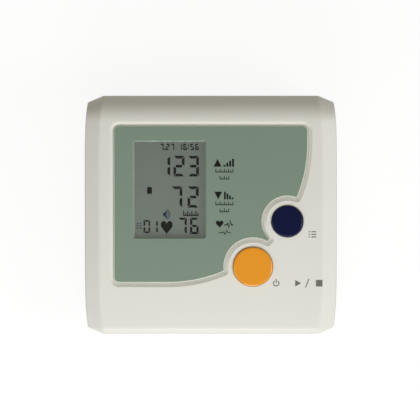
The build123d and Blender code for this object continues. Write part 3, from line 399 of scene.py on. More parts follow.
@dataclass(frozen=True)
class Laminate(Finish):
    """A circuit board: solder mask over copper tracks, which show through it as paler lines."""

    track: str = "#2E7A45"
    pitch: float = 5.08
    track_width: float = 0.2

    def pattern(self, canvas: Canvas) -> bpy.types.NodeSocket:
        """Lay out the tracks as the joints of a brick pattern.

        Args:
            canvas: the material's tree, shader and places.

        Returns:
            The shader's output.
        """
        tree, shader, place = canvas
        tracks = {
            "Color1": linear(self.colour),
            "Color2": linear(self.colour),
            "Mortar": linear(self.track),
            "Scale": 1.0,
            "Mortar Size": self.track_width * MM,
            "Brick Width": self.pitch * MM,
            "Row Height": self.pitch * MM / 2,
        }
        lines = add_node(tree, "TexBrick", tracks, {"Vector": place})
        tree.links.new(lines.outputs["Color"], shader.inputs["Base Color"])
        return shader.outputs["BSDF"]


@dataclass(frozen=True)
class Banded(Finish):
    """A battery's jacket: dark, with a coloured band at the raised end."""

    band: str = "#B8864A"
    start: float = 0.0
    to_front: bool = False

    def pattern(self, canvas: Canvas) -> bpy.types.NodeSocket:
        """Change colour where the band starts along Y.

        Args:
            canvas: the material's tree, shader and places.

        Returns:
            The shader's output.
        """
        tree, shader, place = canvas
        along = add_node(tree, "SeparateXYZ", links={0: place}).outputs["Y"]
        side = {"operation": "LESS_THAN" if self.to_front else "GREATER_THAN", 1: self.start * MM}
        in_band = add_node(tree, "Math", side, {0: along}).outputs[0]
        colours = {"data_type": "RGBA", MIX_A: linear(self.colour), MIX_B: linear(self.band)}
        mix = add_node(tree, "Mix", colours, {0: in_band})
        tree.links.new(mix.outputs[MIX_RESULT], shader.inputs["Base Color"])
        return shader.outputs["BSDF"]


# Injection-moulded ABS from a spark-eroded mould: matt and very slightly uneven, so it takes the light
# softly. The real grain of about 0.1 mm is too fine to show, so it is drawn at 0.9 mm.
CASE_ABS = Grained(
    "abs_spark_eroded_grey", "#E2E2DB", 0.48, 1.53, shade="#DFDFD8", grain_depth=0.006, edge=0.25
)
# The same ABS under a satin sprayed coat: smoother, with a soft sheen and a slow drift of hue. The
# bevelled rim is painted pale grey, a painted highlight along the plate's edge.
PLATE_PAINT = CoatWithRimHighlight(
    "abs_sprayed_satin_green", "#7D9183", 0.38, 1.5, 0.4, shade="#7A8D7E", mottle=55.0, grain=1.4,
    grain_depth=0.003, gloss_spread=0.03, edge=0.3, coat=0.8,
)
# Cast acrylic, polished: nearly no colour, with sharp reflections.
WINDOW_ACRYLIC = Clear("acrylic_polished_clear", "#F8FAF8", 0.03, 1.3)
# Soda-lime glass with a polarising film: greyer than the window.
FRONT_GLASS = Clear("display_glass_polarised", "#F2F4F1", 0.05, 1.12)
# The rear glass carries a brushed reflector: a flat grey green behind the figures. It glows a little, as
# painted light that lifts the shade at the bottom of its well, in place of the light a real reflector
# gathers there.
REAR_GLASS = Grained(
    "display_reflector_film", "#484D48", 0.6, 1.5, 0.3, shade="#454A45", mottle=20.0, grain=0.5,
    grain_depth=0.002, glow=1.53,
)
# Liquid crystal that is switched on: nearly black, and it sits between the glasses.
FIGURE_BLACK = Grained(
    "liquid_crystal_dark", "#070805", 0.6, 1.5, 0.1, shade="#0B0C09", grain_depth=0.0005
)
# Figures that are always there are printed in a blue-black ink.
FIGURE_BLUE = Grained(
    "screen_ink_blue_black", "#1F2A42", 0.6, 1.5, 0.1, shade="#242F48", grain_depth=0.0005
)
# Screen-printed ink on the plate and, thinner and greyer, on the casing.
PLATE_INK = Grained(
    "screen_ink_black", "#11130F", 0.5, 1.5, 0.15, shade="#151813", grain=0.4, grain_depth=0.001
)
CASE_INK = Grained("screen_ink_grey", "#62625D", 0.5, shade="#686862", grain=0.4, grain_depth=0.001)
# Keys moulded in coloured ABS, satin under a clear coat: the rim catches the lamp as a thin bright line.
START_ABS = Grained(
    "abs_satin_orange", "#EC9A1A", 0.32, 1.53, 0.2, shade="#E99615", mottle=12.0,
    grain_depth=0.002, edge=0.1, coat=1.0, coat_roughness=0.08,
)
MEMORY_ABS = Grained(
    "abs_satin_navy", "#020C36", 0.3, 1.53, 0.1, shade="#040F3B", mottle=12.0,
    grain_depth=0.002, edge=0.1, coat=0.3, coat_roughness=0.08,
)
# Moulded nitrile rubber: dull, with a soft grain.
FOOT_RUBBER = Grained("nitrile_moulded_black", "#26262A", 0.8, 1.52, shade="#2E2E31", grain=0.6)
# The same rubber cut from sheet: a little smoother and darker.
SEAL_RUBBER = Grained("nitrile_die_cut_black", "#1E1E20", 0.75, 1.52, shade="#262628", grain=0.5)
# Silicone tube, extruded: milky and a little glossy.
TUBE_SILICONE = Grained("silicone_extruded_milky", "#CFCDC4", 0.4, 1.41, shade="#D8D6CD", grain=1.2)
# Carbon and silicone layers of the contact strip, cut square.
STRIP_RUBBER = Grained(
    "contact_strip_layered", "#3A3A3E", 0.7, 1.45, shade="#B5546A", mottle=0.5, grain=0.4
)
# Nylon mouldings inside the casing: black with glass fibre in it, or its natural cream white.
BLACK_NYLON = Grained("nylon_moulded_black", "#202124", 0.5, 1.53, shade="#27282B", grain=0.6)
WHITE_NYLON = Grained("nylon_moulded_natural", "#D9D6C9", 0.45, 1.53, shade="#E0DDD1", grain=0.8)
# Sintered ferrite: dark and dull, with a fine gritty skin.
MAGNET_FERRITE = Grained("ferrite_sintered", "#34333A", 0.7, 1.6, shade="#3D3C42", grain=0.35)
# Epoxy that encloses the chips: matt, almost black.
CHIP_EPOXY = Grained("epoxy_moulded_black", "#1B1C1E", 0.55, 1.55, shade="#222326", grain=0.3)
# Bright zinc plate on screws and yoke: fine marks, slightly blue.
ZINC_STEEL = Metal("steel_zinc_plated", "#C3C7CC", 0.32)
# Drawn steel can: marks run along the motor.
CAN_STEEL = Metal("steel_deep_drawn", "#B9B7B1", 0.3, marks=(0.25, 4.0, 0.25))
# Nickel on contacts and pins: warmer than zinc.
NICKEL = Metal("nickel_plated_contact", "#CFC9BC", 0.26)
# Drawn aluminium cans: pale, with marks that run up their sides.
ALUMINIUM = Metal("aluminium_drawn_can", "#C9CBCD", 0.34, marks=(0.2, 0.2, 3.0))
# Enamelled copper wire, wound turn beside turn: a warm metal with one ridge for each turn.
MOTOR_COPPER = Wound("copper_enamelled_rotor", "#B5663A", 0.35, wire=0.6)
VALVE_COPPER = Wound("copper_enamelled_coil", "#A8552C", 0.35, wire=0.5)
# Glass fibre in epoxy under a printed solder mask: green and glossy, with paler lines over the tracks.
BOARD_LAMINATE = Laminate("epoxy_glass_solder_mask", "#1D5B33", 0.35, 1.52)
# Glazed resistors and ceramic capacitors, fired: black, brown or tan, one from the next.
RESISTOR_CERAMIC = Islands("thick_film_resistor", "#1F2023", 0.5, others=("#2A2522", "#BFA679"))
# Soft PVC, extruded over wire: red or black, with a soft shine.
LEAD_PVC = Islands("pvc_extruded_wire", "#A3241F", 0.45, others=("#1D1D20",))
# Foil printed and shrunk on a cell: dark and smooth, with a copper-coloured band.
CELL_FOIL = Banded("foil_jacket", "#26282C", 0.35)


def dress(piece: bpy.types.Object, finish: Finish) -> None:
    """Give a piece its finish, and report it.

    Args:
        piece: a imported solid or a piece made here.
        finish: the finish that all its material slots take.
    """
    if not piece.material_slots:
        piece.data.materials.append(None)
    for slot in piece.material_slots:
        slot.material = finish.build()
    log.info("%s: %s", piece.name, finish.name)


# ---------------------------------------------------------------- the sloping face
@dataclass(frozen=True)
class Face:
    """The casing's sloping face, which turns places drawn on it into points of the frame."""

    normal: Vector
    height: float

    @classmethod
    def from_frame(cls, frame: dict[str, Any], plate_drop: float) -> Face:
        """Find the face from the way a key moves and from the faceplate that lies in it.

        Args:
            plate_drop: how far the faceplate lies below the face.

        Returns:
            The face's plane.
        """
        press = next(joint for joint in frame["joints"] if joint["name"] == "start_key_press")
        normal = -Vector(press["axis"]).normalized()
        top = max(normal.dot(vertex.co) for vertex in frame["nodes"]["faceplate"].data.vertices)
        return cls(normal, (top + plate_drop * MM) / normal.z)

    def point(self, x: float, y: float, depth: float = 0.0) -> Vector:
        """The point at a place on the face, or under it by a depth."""
        along = self.normal.cross(Vector((1, 0, 0)))
        return Vector((x * MM, 0, self.height)) + along * (y * MM) - self.normal * (depth * MM)


def flat_piece(name: str, outlines: list[Outline], face: Face, span: Point) -> bpy.types.Object:
    """Make thin flat solids from closed outlines drawn on the face.

    Args:
        name: the piece's name.
        outlines: closed outlines, each a list of places on the face.
        face: the face's plane.
        span: the depths of the piece's top and underside below the face.

    Returns:
        The piece, riding on the casing.
    """
    form = bmesh.new()
    for outline in outlines:
        top, under = ([form.verts.new(face.point(x, y, depth)) for x, y in outline] for depth in span)
        form.faces.new(top)
        form.faces.new(under)
        for index in range(len(outline)):
            form.faces.new((top[index - 1], top[index], under[index], under[index - 1]))
    bmesh.ops.recalc_face_normals(form, faces=form.faces)
    mesh = bpy.data.meshes.new(name)
    form.to_mesh(mesh)
    form.free()
    piece = bpy.data.objects.new(name, mesh)
    bpy.context.scene.collection.objects.link(piece)
    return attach(piece, Body.CASE.value)


# ---------------------------------------------------------------- outlines
def strip(path: list[Point], width: float) -> Outline:
    """A line of one width along a path, as a closed outline.

    Args:
        path: the line's points.
        width: the line's width.

    Returns:
        The outline, up one side of the path and down the other.
    """
    left: Outline = []
    right: Outline = []
    for index, (x, y) in enumerate(path):
        before = Vector(path[max(index - 1, 0)])
        after = Vector(path[min(index + 1, len(path) - 1)])
        here = Vector((x, y))
        ways = [w.normalized() for w in (here - before, after - here) if w.length]
        way = sum(ways, Vector((0, 0))).normalized()
        reach = width / 2 / max(way.dot(ways[0]), MITRE_LIMIT)
        left.append((x - way.y * reach, y + way.x * reach))
        right.append((x + way.y * reach, y - way.x * reach))
    return left + right[::-1]


def arc(centre: Point, radius: float, start: float, end: float, steps: int = 16) -> list[Point]:
    """Points along an arc.

    Args:
        centre: the arc's centre.
        radius: its radius.
        start: the angle where it starts, in degrees from the right.
        end: the angle where it ends.
        steps: how many pieces the arc is cut into.

    Returns:
        The points, ends included.
    """
    angles = [math.radians(start + (end - start) * step / steps) for step in range(steps + 1)]
    return [(centre[0] + radius * math.cos(a), centre[1] + radius * math.sin(a)) for a in angles]


def heart(centre: Point, width: float, height: float, steps: int = 40) -> Outline:
    """A heart's outline, from the usual sum of cosines.

    Args:
        centre: the middle of the heart.
        width: its width.
        height: its height.
        steps: how many sides the outline has.

    Returns:
        The outline.
    """
    # The sum draws a heart 32 wide and 29 high, and its middle is 2.5 below the sum's own centre.
    drawn_width, drawn_height, lift = 32, 29, 2.5
    points = []
    for step in range(steps):
        t = math.tau * step / steps
        across = 16 * math.sin(t) ** 3
        up = 13 * math.cos(t) - 5 * math.cos(2 * t) - 2 * math.cos(3 * t) - math.cos(4 * t) + lift
        points.append((centre[0] + across * width / drawn_width, centre[1] + up * height / drawn_height))
    return points


def rectangle(x: Point, y: Point) -> Outline:
    """A rectangle between two places across and two places up."""
    return [(x[0], y[0]), (x[1], y[0]), (x[1], y[1]), (x[0], y[1])]


class Symbol(Enum):
    """The plain pictograms printed on the monitor."""

    UPPER_VALUE = "upper_value"
    LOWER_VALUE = "lower_value"
    PULSE = "pulse"
    SCALE = "scale"
    BEAT = "beat"
    RECALL = "recall"
    START_STOP = "start_stop"


@dataclass(frozen=True)
class Mark:
    """A printed pictogram: what it shows, its middle on the face, and its width and height."""

    name: str
    symbol: Symbol
    x: float
    y: float
    width: float
    height: float

    @property
    def left(self) -> float:
        """The mark's left edge."""
        return self.x - self.width / 2

    @property
    def foot(self) -> float:
        """The mark's lower edge."""
        return self.y - self.height / 2

    def outlines(self) -> list[Outline]:
        """Draw the mark.

        Returns:
            The closed outlines that make it up.
        """
        makers = {
            Symbol.UPPER_VALUE: self.arrow_and_bars,
            Symbol.LOWER_VALUE: self.arrow_and_bars,
            Symbol.PULSE: self.heart_and_beat,
            Symbol.SCALE: self.scale,
            Symbol.BEAT: self.beat,
            Symbol.RECALL: self.list_of_lines,
            Symbol.START_STOP: self.start_and_stop,
        }
        return makers[self.symbol]()

    def arrow_and_bars(self, bars: int = 4) -> list[Outline]:
        """A triangle that points up beside rising bars, or down beside falling ones.

        Args:
            bars: how many bars there are.

        Returns:
            The outlines of the triangle and the bars.
        """
        up = self.symbol is Symbol.UPPER_VALUE
        top = self.foot + self.height
        base, tip = (self.foot, top) if up else (top, self.foot)
        side, gap, bar_share = self.height, self.height / 4, 0.7
        made = [[(self.left, base), (self.left + side, base), (self.left + side / 2, tip)]]
        pitch = (self.width - side - gap) / bars
        for index in range(bars):
            x = self.left + side + gap + index * pitch
            rise = self.height * ((index if up else bars - 1 - index) + 1) / bars
            made.append(rectangle((x, x + pitch * bar_share), (self.foot, self.foot + rise)))
        return made

    def heart_and_beat(self) -> list[Outline]:
        """A heart beside the trace of one beat.

        Returns:
            Their outlines.
        """
        side, line = self.height, 0.6
        taken = side * 1.1
        trace = Mark("", Symbol.BEAT, self.x + taken / 2, self.y, self.width - taken, side)
        return [heart((self.left + side / 2, self.y), side, side), *trace.beat(line)]

    def beat(self, line: float = 0.42) -> list[Outline]:
        """The trace of one beat, as a line that dips and peaks.

        Args:
            line: the line's width.

        Returns:
            The outline of the line.
        """
        # Shares of the mark's width and height.
        steps = ((0, 0.4), (0.25, 0.4), (0.4, 0.6), (0.52, 0.0), (0.66, 1.0), (0.78, 0.4), (1, 0.4))
        path = [(self.left + a * self.width, self.foot + b * self.height) for a, b in steps]
        return [strip(path, line)]

    def scale(self, line: float = 0.4, pitch: float = 1.15) -> list[Outline]:
        """A ruler's edge: a base line with long and short ticks.

        Args:
            line: the width of the lines.
            pitch: about how far the ticks are apart.

        Returns:
            The outlines of the base line and the ticks.
        """
        long_tick, short_tick = 1.0, 0.6
        made = [rectangle((self.left, self.left + self.width), (self.foot, self.foot + line))]
        count = round(self.width / pitch)
        for index in range(count + 1):
            x = self.left + (self.width - line) * index / count
            top = self.foot + self.height * (long_tick if index % 2 == 0 else short_tick)
            made.append(rectangle((x, x + line), (self.foot + line, top)))
        return made

    def list_of_lines(self, lines: int = 3, line: float = 0.55) -> list[Outline]:
        """A short list: lines, each behind a dot.

        Args:
            lines: how many lines there are.
            line: the height of a line.

        Returns:
            The outlines of the dots and the lines.
        """
        dot, indent = line * 1.4, line * 2.6
        made = []
        for index in range(lines):
            y = self.foot + (self.height - line) * index / (lines - 1)
            made.append(rectangle((self.left, self.left + dot), (y, y + line)))
            made.append(rectangle((self.left + indent, self.left + self.width), (y, y + line)))
        return made

    def start_and_stop(self, line: float = 0.55) -> list[Outline]:
        """The switch-on sign, then a triangle, a slash and a square for start or stop.

        Args:
            line: the width of the lines.

        Returns:
            The outlines of the ring, its bar and the three signs.
        """
        radius = self.height / 2
        ring = (self.left + radius, self.y)
        ring_start, ring_end, ring_steps = 125, 415, 28
        top = self.foot + self.height
        triangle = self.left + self.width * 0.45
        slash = self.left + self.width * 0.66
        square = self.left + self.width - self.height
        return [
            strip(arc(ring, radius - line / 2, ring_start, ring_end, ring_steps), line),
            rectangle((ring[0] - line / 2, ring[0] + line / 2), (self.y, top + line)),
            [(triangle, self.foot), (triangle + self.height * 0.9, self.y), (triangle, top)],
            strip([(slash, self.foot - line), (slash + radius, top + line)], line),
            rectangle((square, square + self.height), (self.foot, top)),
        ]


# ---------------------------------------------------------------- figures of the display
class Bar(Enum):
    """The seven bars of a figure, by the letters that display makers give them."""

    TOP = "a"
    UPPER_RIGHT = "b"
    LOWER_RIGHT = "c"
    BOTTOM = "d"
    LOWER_LEFT = "e"
    UPPER_LEFT = "f"
    MIDDLE = "g"


# The bars that each figure lights.
LIT_BARS = {
    "0": "abcdef", "1": "bc", "2": "abged", "3": "abgcd", "4": "fgbc",
    "5": "afgcd", "6": "afgedc", "7": "abc", "8": "abcdefg", "9": "abcdfg",
}
# How wide a gap each sign makes, in pitches, and how high its dots stand, in heights of a figure.
SPACING = {" ": 0.6, ":": 0.45, ".": 0.2}
DOT_RISES: dict[str, tuple[float, ...]] = {" ": (), ":": (0.2, 0.62), ".": (0.0,)}


@dataclass(frozen=True)
class Figures:
    """A row of seven-bar figures, placed by its right end and top inside the window."""

    name: str
    text: str
    right: float
    top: float
    height: float
    width: float
    pitch: float
    bar: float
    gap: float

    def outlines(self, corner: Point) -> list[Outline]:
        """The lit bars and dots of the row.

        Args:
            corner: the window's upper left corner on the face.

        Returns:
            One closed outline for each bar or dot.
        """
        foot = corner[1] - self.top - self.height
        x = corner[0] + self.right - self.width
        made: list[Outline] = []
        for sign in reversed(self.text):
            if sign in LIT_BARS:
                made += [self.bar_outline(Bar(letter), x, foot) for letter in LIT_BARS[sign]]
                x -= self.pitch
            else:
                gap = (1 + SPACING[sign]) * self.pitch - self.width
                made += self.dots(sign, x + self.pitch - gap / 2, foot)
                x -= SPACING[sign] * self.pitch
        return made

    def dots(self, sign: str, x: float, foot: float) -> list[Outline]:
        """The dots of a colon or a point.

        Args:
            sign: the sign between two figures.
            x: the middle of its gap.
            foot: the figures' lower edge.

        Returns:
            One outline for each dot.
        """
        left = x - self.bar / 2
        feet = [foot + rise * self.height for rise in DOT_RISES[sign]]
        return [rectangle((left, left + self.bar), (low, low + self.bar)) for low in feet]

    def bar_outline(self, bar: Bar, x: float, foot: float) -> Outline:
        """One bar of a figure.

        Args:
            bar: which of the seven bars.
            x: the figure's left edge.
            foot: the figure's lower edge.

        Returns:
            The bar's outline.
        """
        w, h, t, g = self.width, self.height, self.bar, self.gap
        half = h / 2
        if bar is Bar.MIDDLE:
            shape = [
                (t / 2 + g, half), (t + g / 2, half + t / 2), (w - t - g / 2, half + t / 2),
                (w - t / 2 - g, half), (w - t - g / 2, half - t / 2), (t + g / 2, half - t / 2),
            ]
        elif bar in (Bar.TOP, Bar.BOTTOM):
            shape = [(g, h), (w - g, h), (w - t - g / 2, h - t), (t + g / 2, h - t)]
        else:
            shape = [(0, half + g), (0, h - g), (t, h - t - g / 2), (t, half + t / 2 + g)]
        if bar in (Bar.BOTTOM, Bar.LOWER_LEFT, Bar.LOWER_RIGHT):
            shape = [(a, h - b) for a, b in shape]
        if bar in (Bar.UPPER_RIGHT, Bar.LOWER_RIGHT):
            shape = [(w - a, b) for a, b in shape]
        return [(x + a, foot + b) for a, b in shape]


# ---------------------------------------------------------------- sub-assemblies
@dataclass
class SubAssembly:
    """Pieces that belong together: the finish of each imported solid, and what is added to them."""

    nodes: dict[str, bpy.types.Object]
    finishes: ClassVar[dict[str, Finish]] = {}

    def dress(self) -> None:
        """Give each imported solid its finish."""
        for name, finish in self.finishes.items():
            dress(self.nodes[name], finish)

    def build(self) -> None:
        """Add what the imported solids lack."""


@dataclass
class Casing(SubAssembly):
    """The two case halves, the battery door, the feet and the screws."""

    finishes: ClassVar[dict[str, Finish]] = {
        "top_case": CASE_ABS,
        "bottom_case": CASE_ABS,
        "battery_door": CASE_ABS,
        "rubber_feet": FOOT_RUBBER,
        "case_screws": ZINC_STEEL,
    }


@dataclass
class Faceplate(SubAssembly):
    """The coloured plate, and the marks printed on it and on the casing beside the keys."""

    face: Face
    # How deep the plate lies under the casing's face, and how far the ink stands out of either.
    plate_depth: float = 0.5
    ink: float = 0.02
    plate_marks: tuple[Mark, ...] = (
        Mark("mark_upper_value", Symbol.UPPER_VALUE, 6.9, 27.0, 11.0, 4.1),
        Mark("mark_upper_scale", Symbol.SCALE, 7.0, 22.9, 9.2, 1.9),
        Mark("mark_upper_scale_short", Symbol.SCALE, 7.0, 19.3, 5.0, 1.9),
        Mark("mark_lower_value", Symbol.LOWER_VALUE, 6.9, 10.0, 10.2, 4.0),
        Mark("mark_lower_scale", Symbol.SCALE, 7.0, 5.9, 9.2, 1.9),
        Mark("mark_lower_scale_short", Symbol.SCALE, 7.0, 2.3, 5.0, 1.9),
        Mark("mark_pulse", Symbol.PULSE, 7.1, -4.9, 9.0, 3.9),
        Mark("mark_pulse_beat", Symbol.BEAT, 7.2, -9.1, 6.2, 2.2),
    )
    case_marks: tuple[Mark, ...] = (
        Mark("mark_memory_list", Symbol.RECALL, 52.4, -10.1, 3.9, 3.3),
        Mark("mark_start_stop", Symbol.START_STOP, 44.8, -35.5, 25.6, 3.4),
    )

    def dress(self) -> None:
        """Spray the plate; its painted rim highlight leaves out the opening for the window."""
        low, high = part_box("display_window")
        middle, reach = (low + high) / 2, (high - low) / 2
        paint = replace(PLATE_PAINT, window_middle=middle.xy[:], window_reach=reach.xy[:])
        dress(self.nodes["faceplate"], paint)

    def build(self) -> None:
        """Print the marks."""
        for marks, depth, finish in (
            (self.plate_marks, self.plate_depth, PLATE_INK),
            (self.case_marks, 0.0, CASE_INK),
        ):
            for mark in marks:
                span = (depth - self.ink, depth + self.ink / 2)
                dress(flat_piece(mark.name, mark.outlines(), self.face, span), finish)


@dataclass
class Display(SubAssembly):
    """The window, the two glasses in their holder, and the figures between the glasses."""

    face: Face
    window_size: Point = (36.4, 49.6)
    # How deep under the face the two glasses meet, and the thin layer there that holds the figures.
    joint_depth: float = 4.7
    crystal: float = 0.05
    finishes: ClassVar[dict[str, Finish]] = {
        "display_window": WINDOW_ACRYLIC,
        "display_glass_front": FRONT_GLASS,
        "display_glass_rear": REAR_GLASS,
        "display_holder": WHITE_NYLON,
        "display_connector_strip": STRIP_RUBBER,
    }
    # Each row's right end and top, a figure's height, width and pitch, and a bar's width and gap.
    rows: tuple[Figures, ...] = (
        Figures("figures_time", "7.27 16:56", 33.2, 1.5, 3.3, 1.9, 2.5, 0.66, 0.04),
        Figures("figures_upper_value", "123", 33.25, 7.75, 10.7, 5.7, 7.4, 1.42, 0.26),
        Figures("figures_lower_value", "72", 33.1, 23.6, 11.05, 5.7, 8.4, 1.42, 0.26),
        Figures("figures_count", "01", 12.05, 41.1, 6.75, 3.4, 3.95, 0.9, 0.2),
        Figures("figures_pulse", "76", 33.1, 39.85, 8.55, 4.4, 6.1, 1.16, 0.22),
    )
    # Where the signs stand, to the right of the window's corner and down from it, and their sizes.
    marker: tuple[Point, Point] = ((6.55, 9.05), (23.95, 27.45))
    heart_middle: Point = (16.65, 45.1)
    heart_size: Point = (6.15, 7.1)
    speaker_place: Point = (14.75, 38.2)
    speaker_horn: tuple[Point, ...] = (
        (0, -0.9), (0, 0.9), (0.7, 0.9), (1.8, 2.4), (1.8, -2.4), (0.7, -0.9),
    )
    sound_middle: float = 0.6
    sound_radii: Point = (2.05, 2.95)
    sound_line: float = 0.42
    list_icon: Mark = Mark("", Symbol.RECALL, 2.4, 44.1, 2.5, 3.2)
    list_line: float = 0.65
    unit_icon: Mark = Mark("", Symbol.SCALE, 29.1, 37.7, 7.9, 2.7)
    unit_line: float = 0.55
    unit_pitch: float = 1.2

    def corner(self) -> Point:
        """Find where the figures are measured from.

        Returns:
            The window's upper left corner on the face.
        """
        low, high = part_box("display_window")
        x = (low.x + high.x) / 2 / MM
        middle = (low + high) / 2
        along = self.face.normal.cross(Vector((1, 0, 0)))
        y = (middle - Vector((0, 0, self.face.height))).dot(along) / MM
        return (x - self.window_size[0] / 2, y + self.window_size[1] / 2)

    def icon(self, mark: Mark, corner: Point, line: float) -> list[Outline]:
        """A pictogram inside the window.

        Args:
            mark: the pictogram, placed to the right of the window's corner and down from it.
            corner: the window's upper left corner on the face.
            line: the width of its lines.

        Returns:
            Its outlines.
        """
        placed = Mark("", mark.symbol, corner[0] + mark.x, corner[1] - mark.y, mark.width, mark.height)
        if mark.symbol is Symbol.SCALE:
            return placed.scale(line, self.unit_pitch)
        return placed.list_of_lines(line=line)

    def speaker(self, corner: Point) -> list[Outline]:
        """A small loudspeaker with two sound waves.

        Args:
            corner: the window's upper left corner on the face.

        Returns:
            The outlines of the horn and the waves.
        """
        x, y = corner[0] + self.speaker_place[0], corner[1] - self.speaker_place[1]
        horn = [(x + across, y + up) for across, up in self.speaker_horn]
        arcs = [arc((x + self.sound_middle, y), radius, -60, 60) for radius in self.sound_radii]
        return [horn, *(strip(wave, self.sound_line) for wave in arcs)]

    def build(self) -> None:
        """Put the figures and the fixed signs between the glasses."""
        corner = self.corner()
        span = (self.joint_depth - self.crystal, self.joint_depth - self.crystal / 5)
        for row in self.rows:
            dress(flat_piece(row.name, row.outlines(corner), self.face, span), FIGURE_BLACK)
        (left, right), (top, foot) = self.marker
        block = rectangle((corner[0] + left, corner[0] + right), (corner[1] - foot, corner[1] - top))
        middle = (corner[0] + self.heart_middle[0], corner[1] - self.heart_middle[1])
        signs = {
            "figure_marker": ([block], FIGURE_BLACK),
            "figure_heart": ([heart(middle, *self.heart_size)], FIGURE_BLACK),
            "figure_speaker": (self.speaker(corner), FIGURE_BLUE),
            "figure_list": (self.icon(self.list_icon, corner, self.list_line), FIGURE_BLUE),
            "figure_unit_scale": (self.icon(self.unit_icon, corner, self.unit_line), FIGURE_BLACK),
        }
        for name, (outlines, finish) in signs.items():
            dress(flat_piece(name, outlines, self.face, span), finish)


@dataclass
class Keys(SubAssembly):
    """The two keys and the switches under them."""

    finishes: ClassVar[dict[str, Finish]] = {
        "start_button": START_ABS,
        "memory_button": MEMORY_ABS,
        "start_switch_housing": BLACK_NYLON,
        "memory_switch_housing": BLACK_NYLON,
        "start_switch_cover": NICKEL,
        "memory_switch_cover": NICKEL,
        "start_switch_plunger": BLACK_NYLON,
        "memory_switch_plunger": BLACK_NYLON,
    }


@dataclass
class Board(SubAssembly):
    """The circuit board and what is soldered to it."""

    finishes: ClassVar[dict[str, Finish]] = {
        "main_board": BOARD_LAMINATE,
        "board_screws": ZINC_STEEL,
        "pressure_sensor": WHITE_NYLON,
        "buzzer": BLACK_NYLON,
        "controller_chip": CHIP_EPOXY,
        "controller_pins": NICKEL,
        "capacitors": ALUMINIUM,
        "small_components": RESISTOR_CERAMIC,
        "lead_headers": WHITE_NYLON,
        "pump_leads": LEAD_PVC,
        "valve_leads": LEAD_PVC,
        "power_leads": LEAD_PVC,
        "battery_leads": LEAD_PVC,
    }


@dataclass
class Batteries(SubAssembly):
    """Four cells, whose coloured bands are at their raised ends, with springs and plates."""

    count: int = 4
    band: float = 12.0
    finishes: ClassVar[dict[str, Finish]] = {"battery_springs": NICKEL, "battery_plates": NICKEL}

    def dress(self) -> None:
        """Give each cell a jacket with its band at the end that the cell turns to."""
        super().dress()
        for index in range(self.count):
            name = f"battery_cell_{index + 1}"
            low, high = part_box(name)
            # The cells lie head to tail, and the first one's raised end is at the front.
            to_front = index % 2 == 0
            start = low.y / MM + self.band if to_front else high.y / MM - self.band
            jacket = f"{CELL_FOIL.name}_{index + 1}"
            dress(self.nodes[name], replace(CELL_FOIL, name=jacket, start=start, to_front=to_front))


@dataclass
class AirPump(SubAssembly):
    """The motor, and the pump on its nose."""

    finishes: ClassVar[dict[str, Finish]] = {
        "motor_can": CAN_STEEL,
        "motor_end_cap": BLACK_NYLON,
        "motor_magnets": MAGNET_FERRITE,
        "motor_rotor": MOTOR_COPPER,
        "pump_crank": WHITE_NYLON,
        "pump_chamber": BLACK_NYLON,
        "pump_diaphragm": SEAL_RUBBER,
        "pump_head": BLACK_NYLON,
        "pump_pad": FOOT_RUBBER,
    }


@dataclass
class AirLine(SubAssembly):
    """The release valve, the tubes and the sockets."""

    joints: list[dict[str, Any]]
    plunger_joint: str = "valve_plunger_slide"
    finishes: ClassVar[dict[str, Finish]] = {
        "valve_nozzle": WHITE_NYLON,
        "valve_yoke": ZINC_STEEL,
        "valve_bobbin": WHITE_NYLON,
        "valve_winding": VALVE_COPPER,
        "valve_plunger": ZINC_STEEL,
        "valve_spring": NICKEL,
        "air_manifold": WHITE_NYLON,
        "air_tubes": TUBE_SILICONE,
        "air_socket": BLACK_NYLON,
        "air_socket_gasket": SEAL_RUBBER,
        "air_socket_nut": WHITE_NYLON,
        "power_socket": BLACK_NYLON,
        "power_socket_pin": NICKEL,
    }

    def build(self) -> None:
        """Give the valve's spring a mesh of its own."""
        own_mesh(self.nodes["valve_spring"])


# ---------------------------------------------------------------- studio
@dataclass(frozen=True)
class Lamp:
    """A square soft lamp: where it stands and its side in metres, its power in watts and its tint."""

    name: str
    place: tuple[float, float, float]
    side: float
    power: float
    tint: str


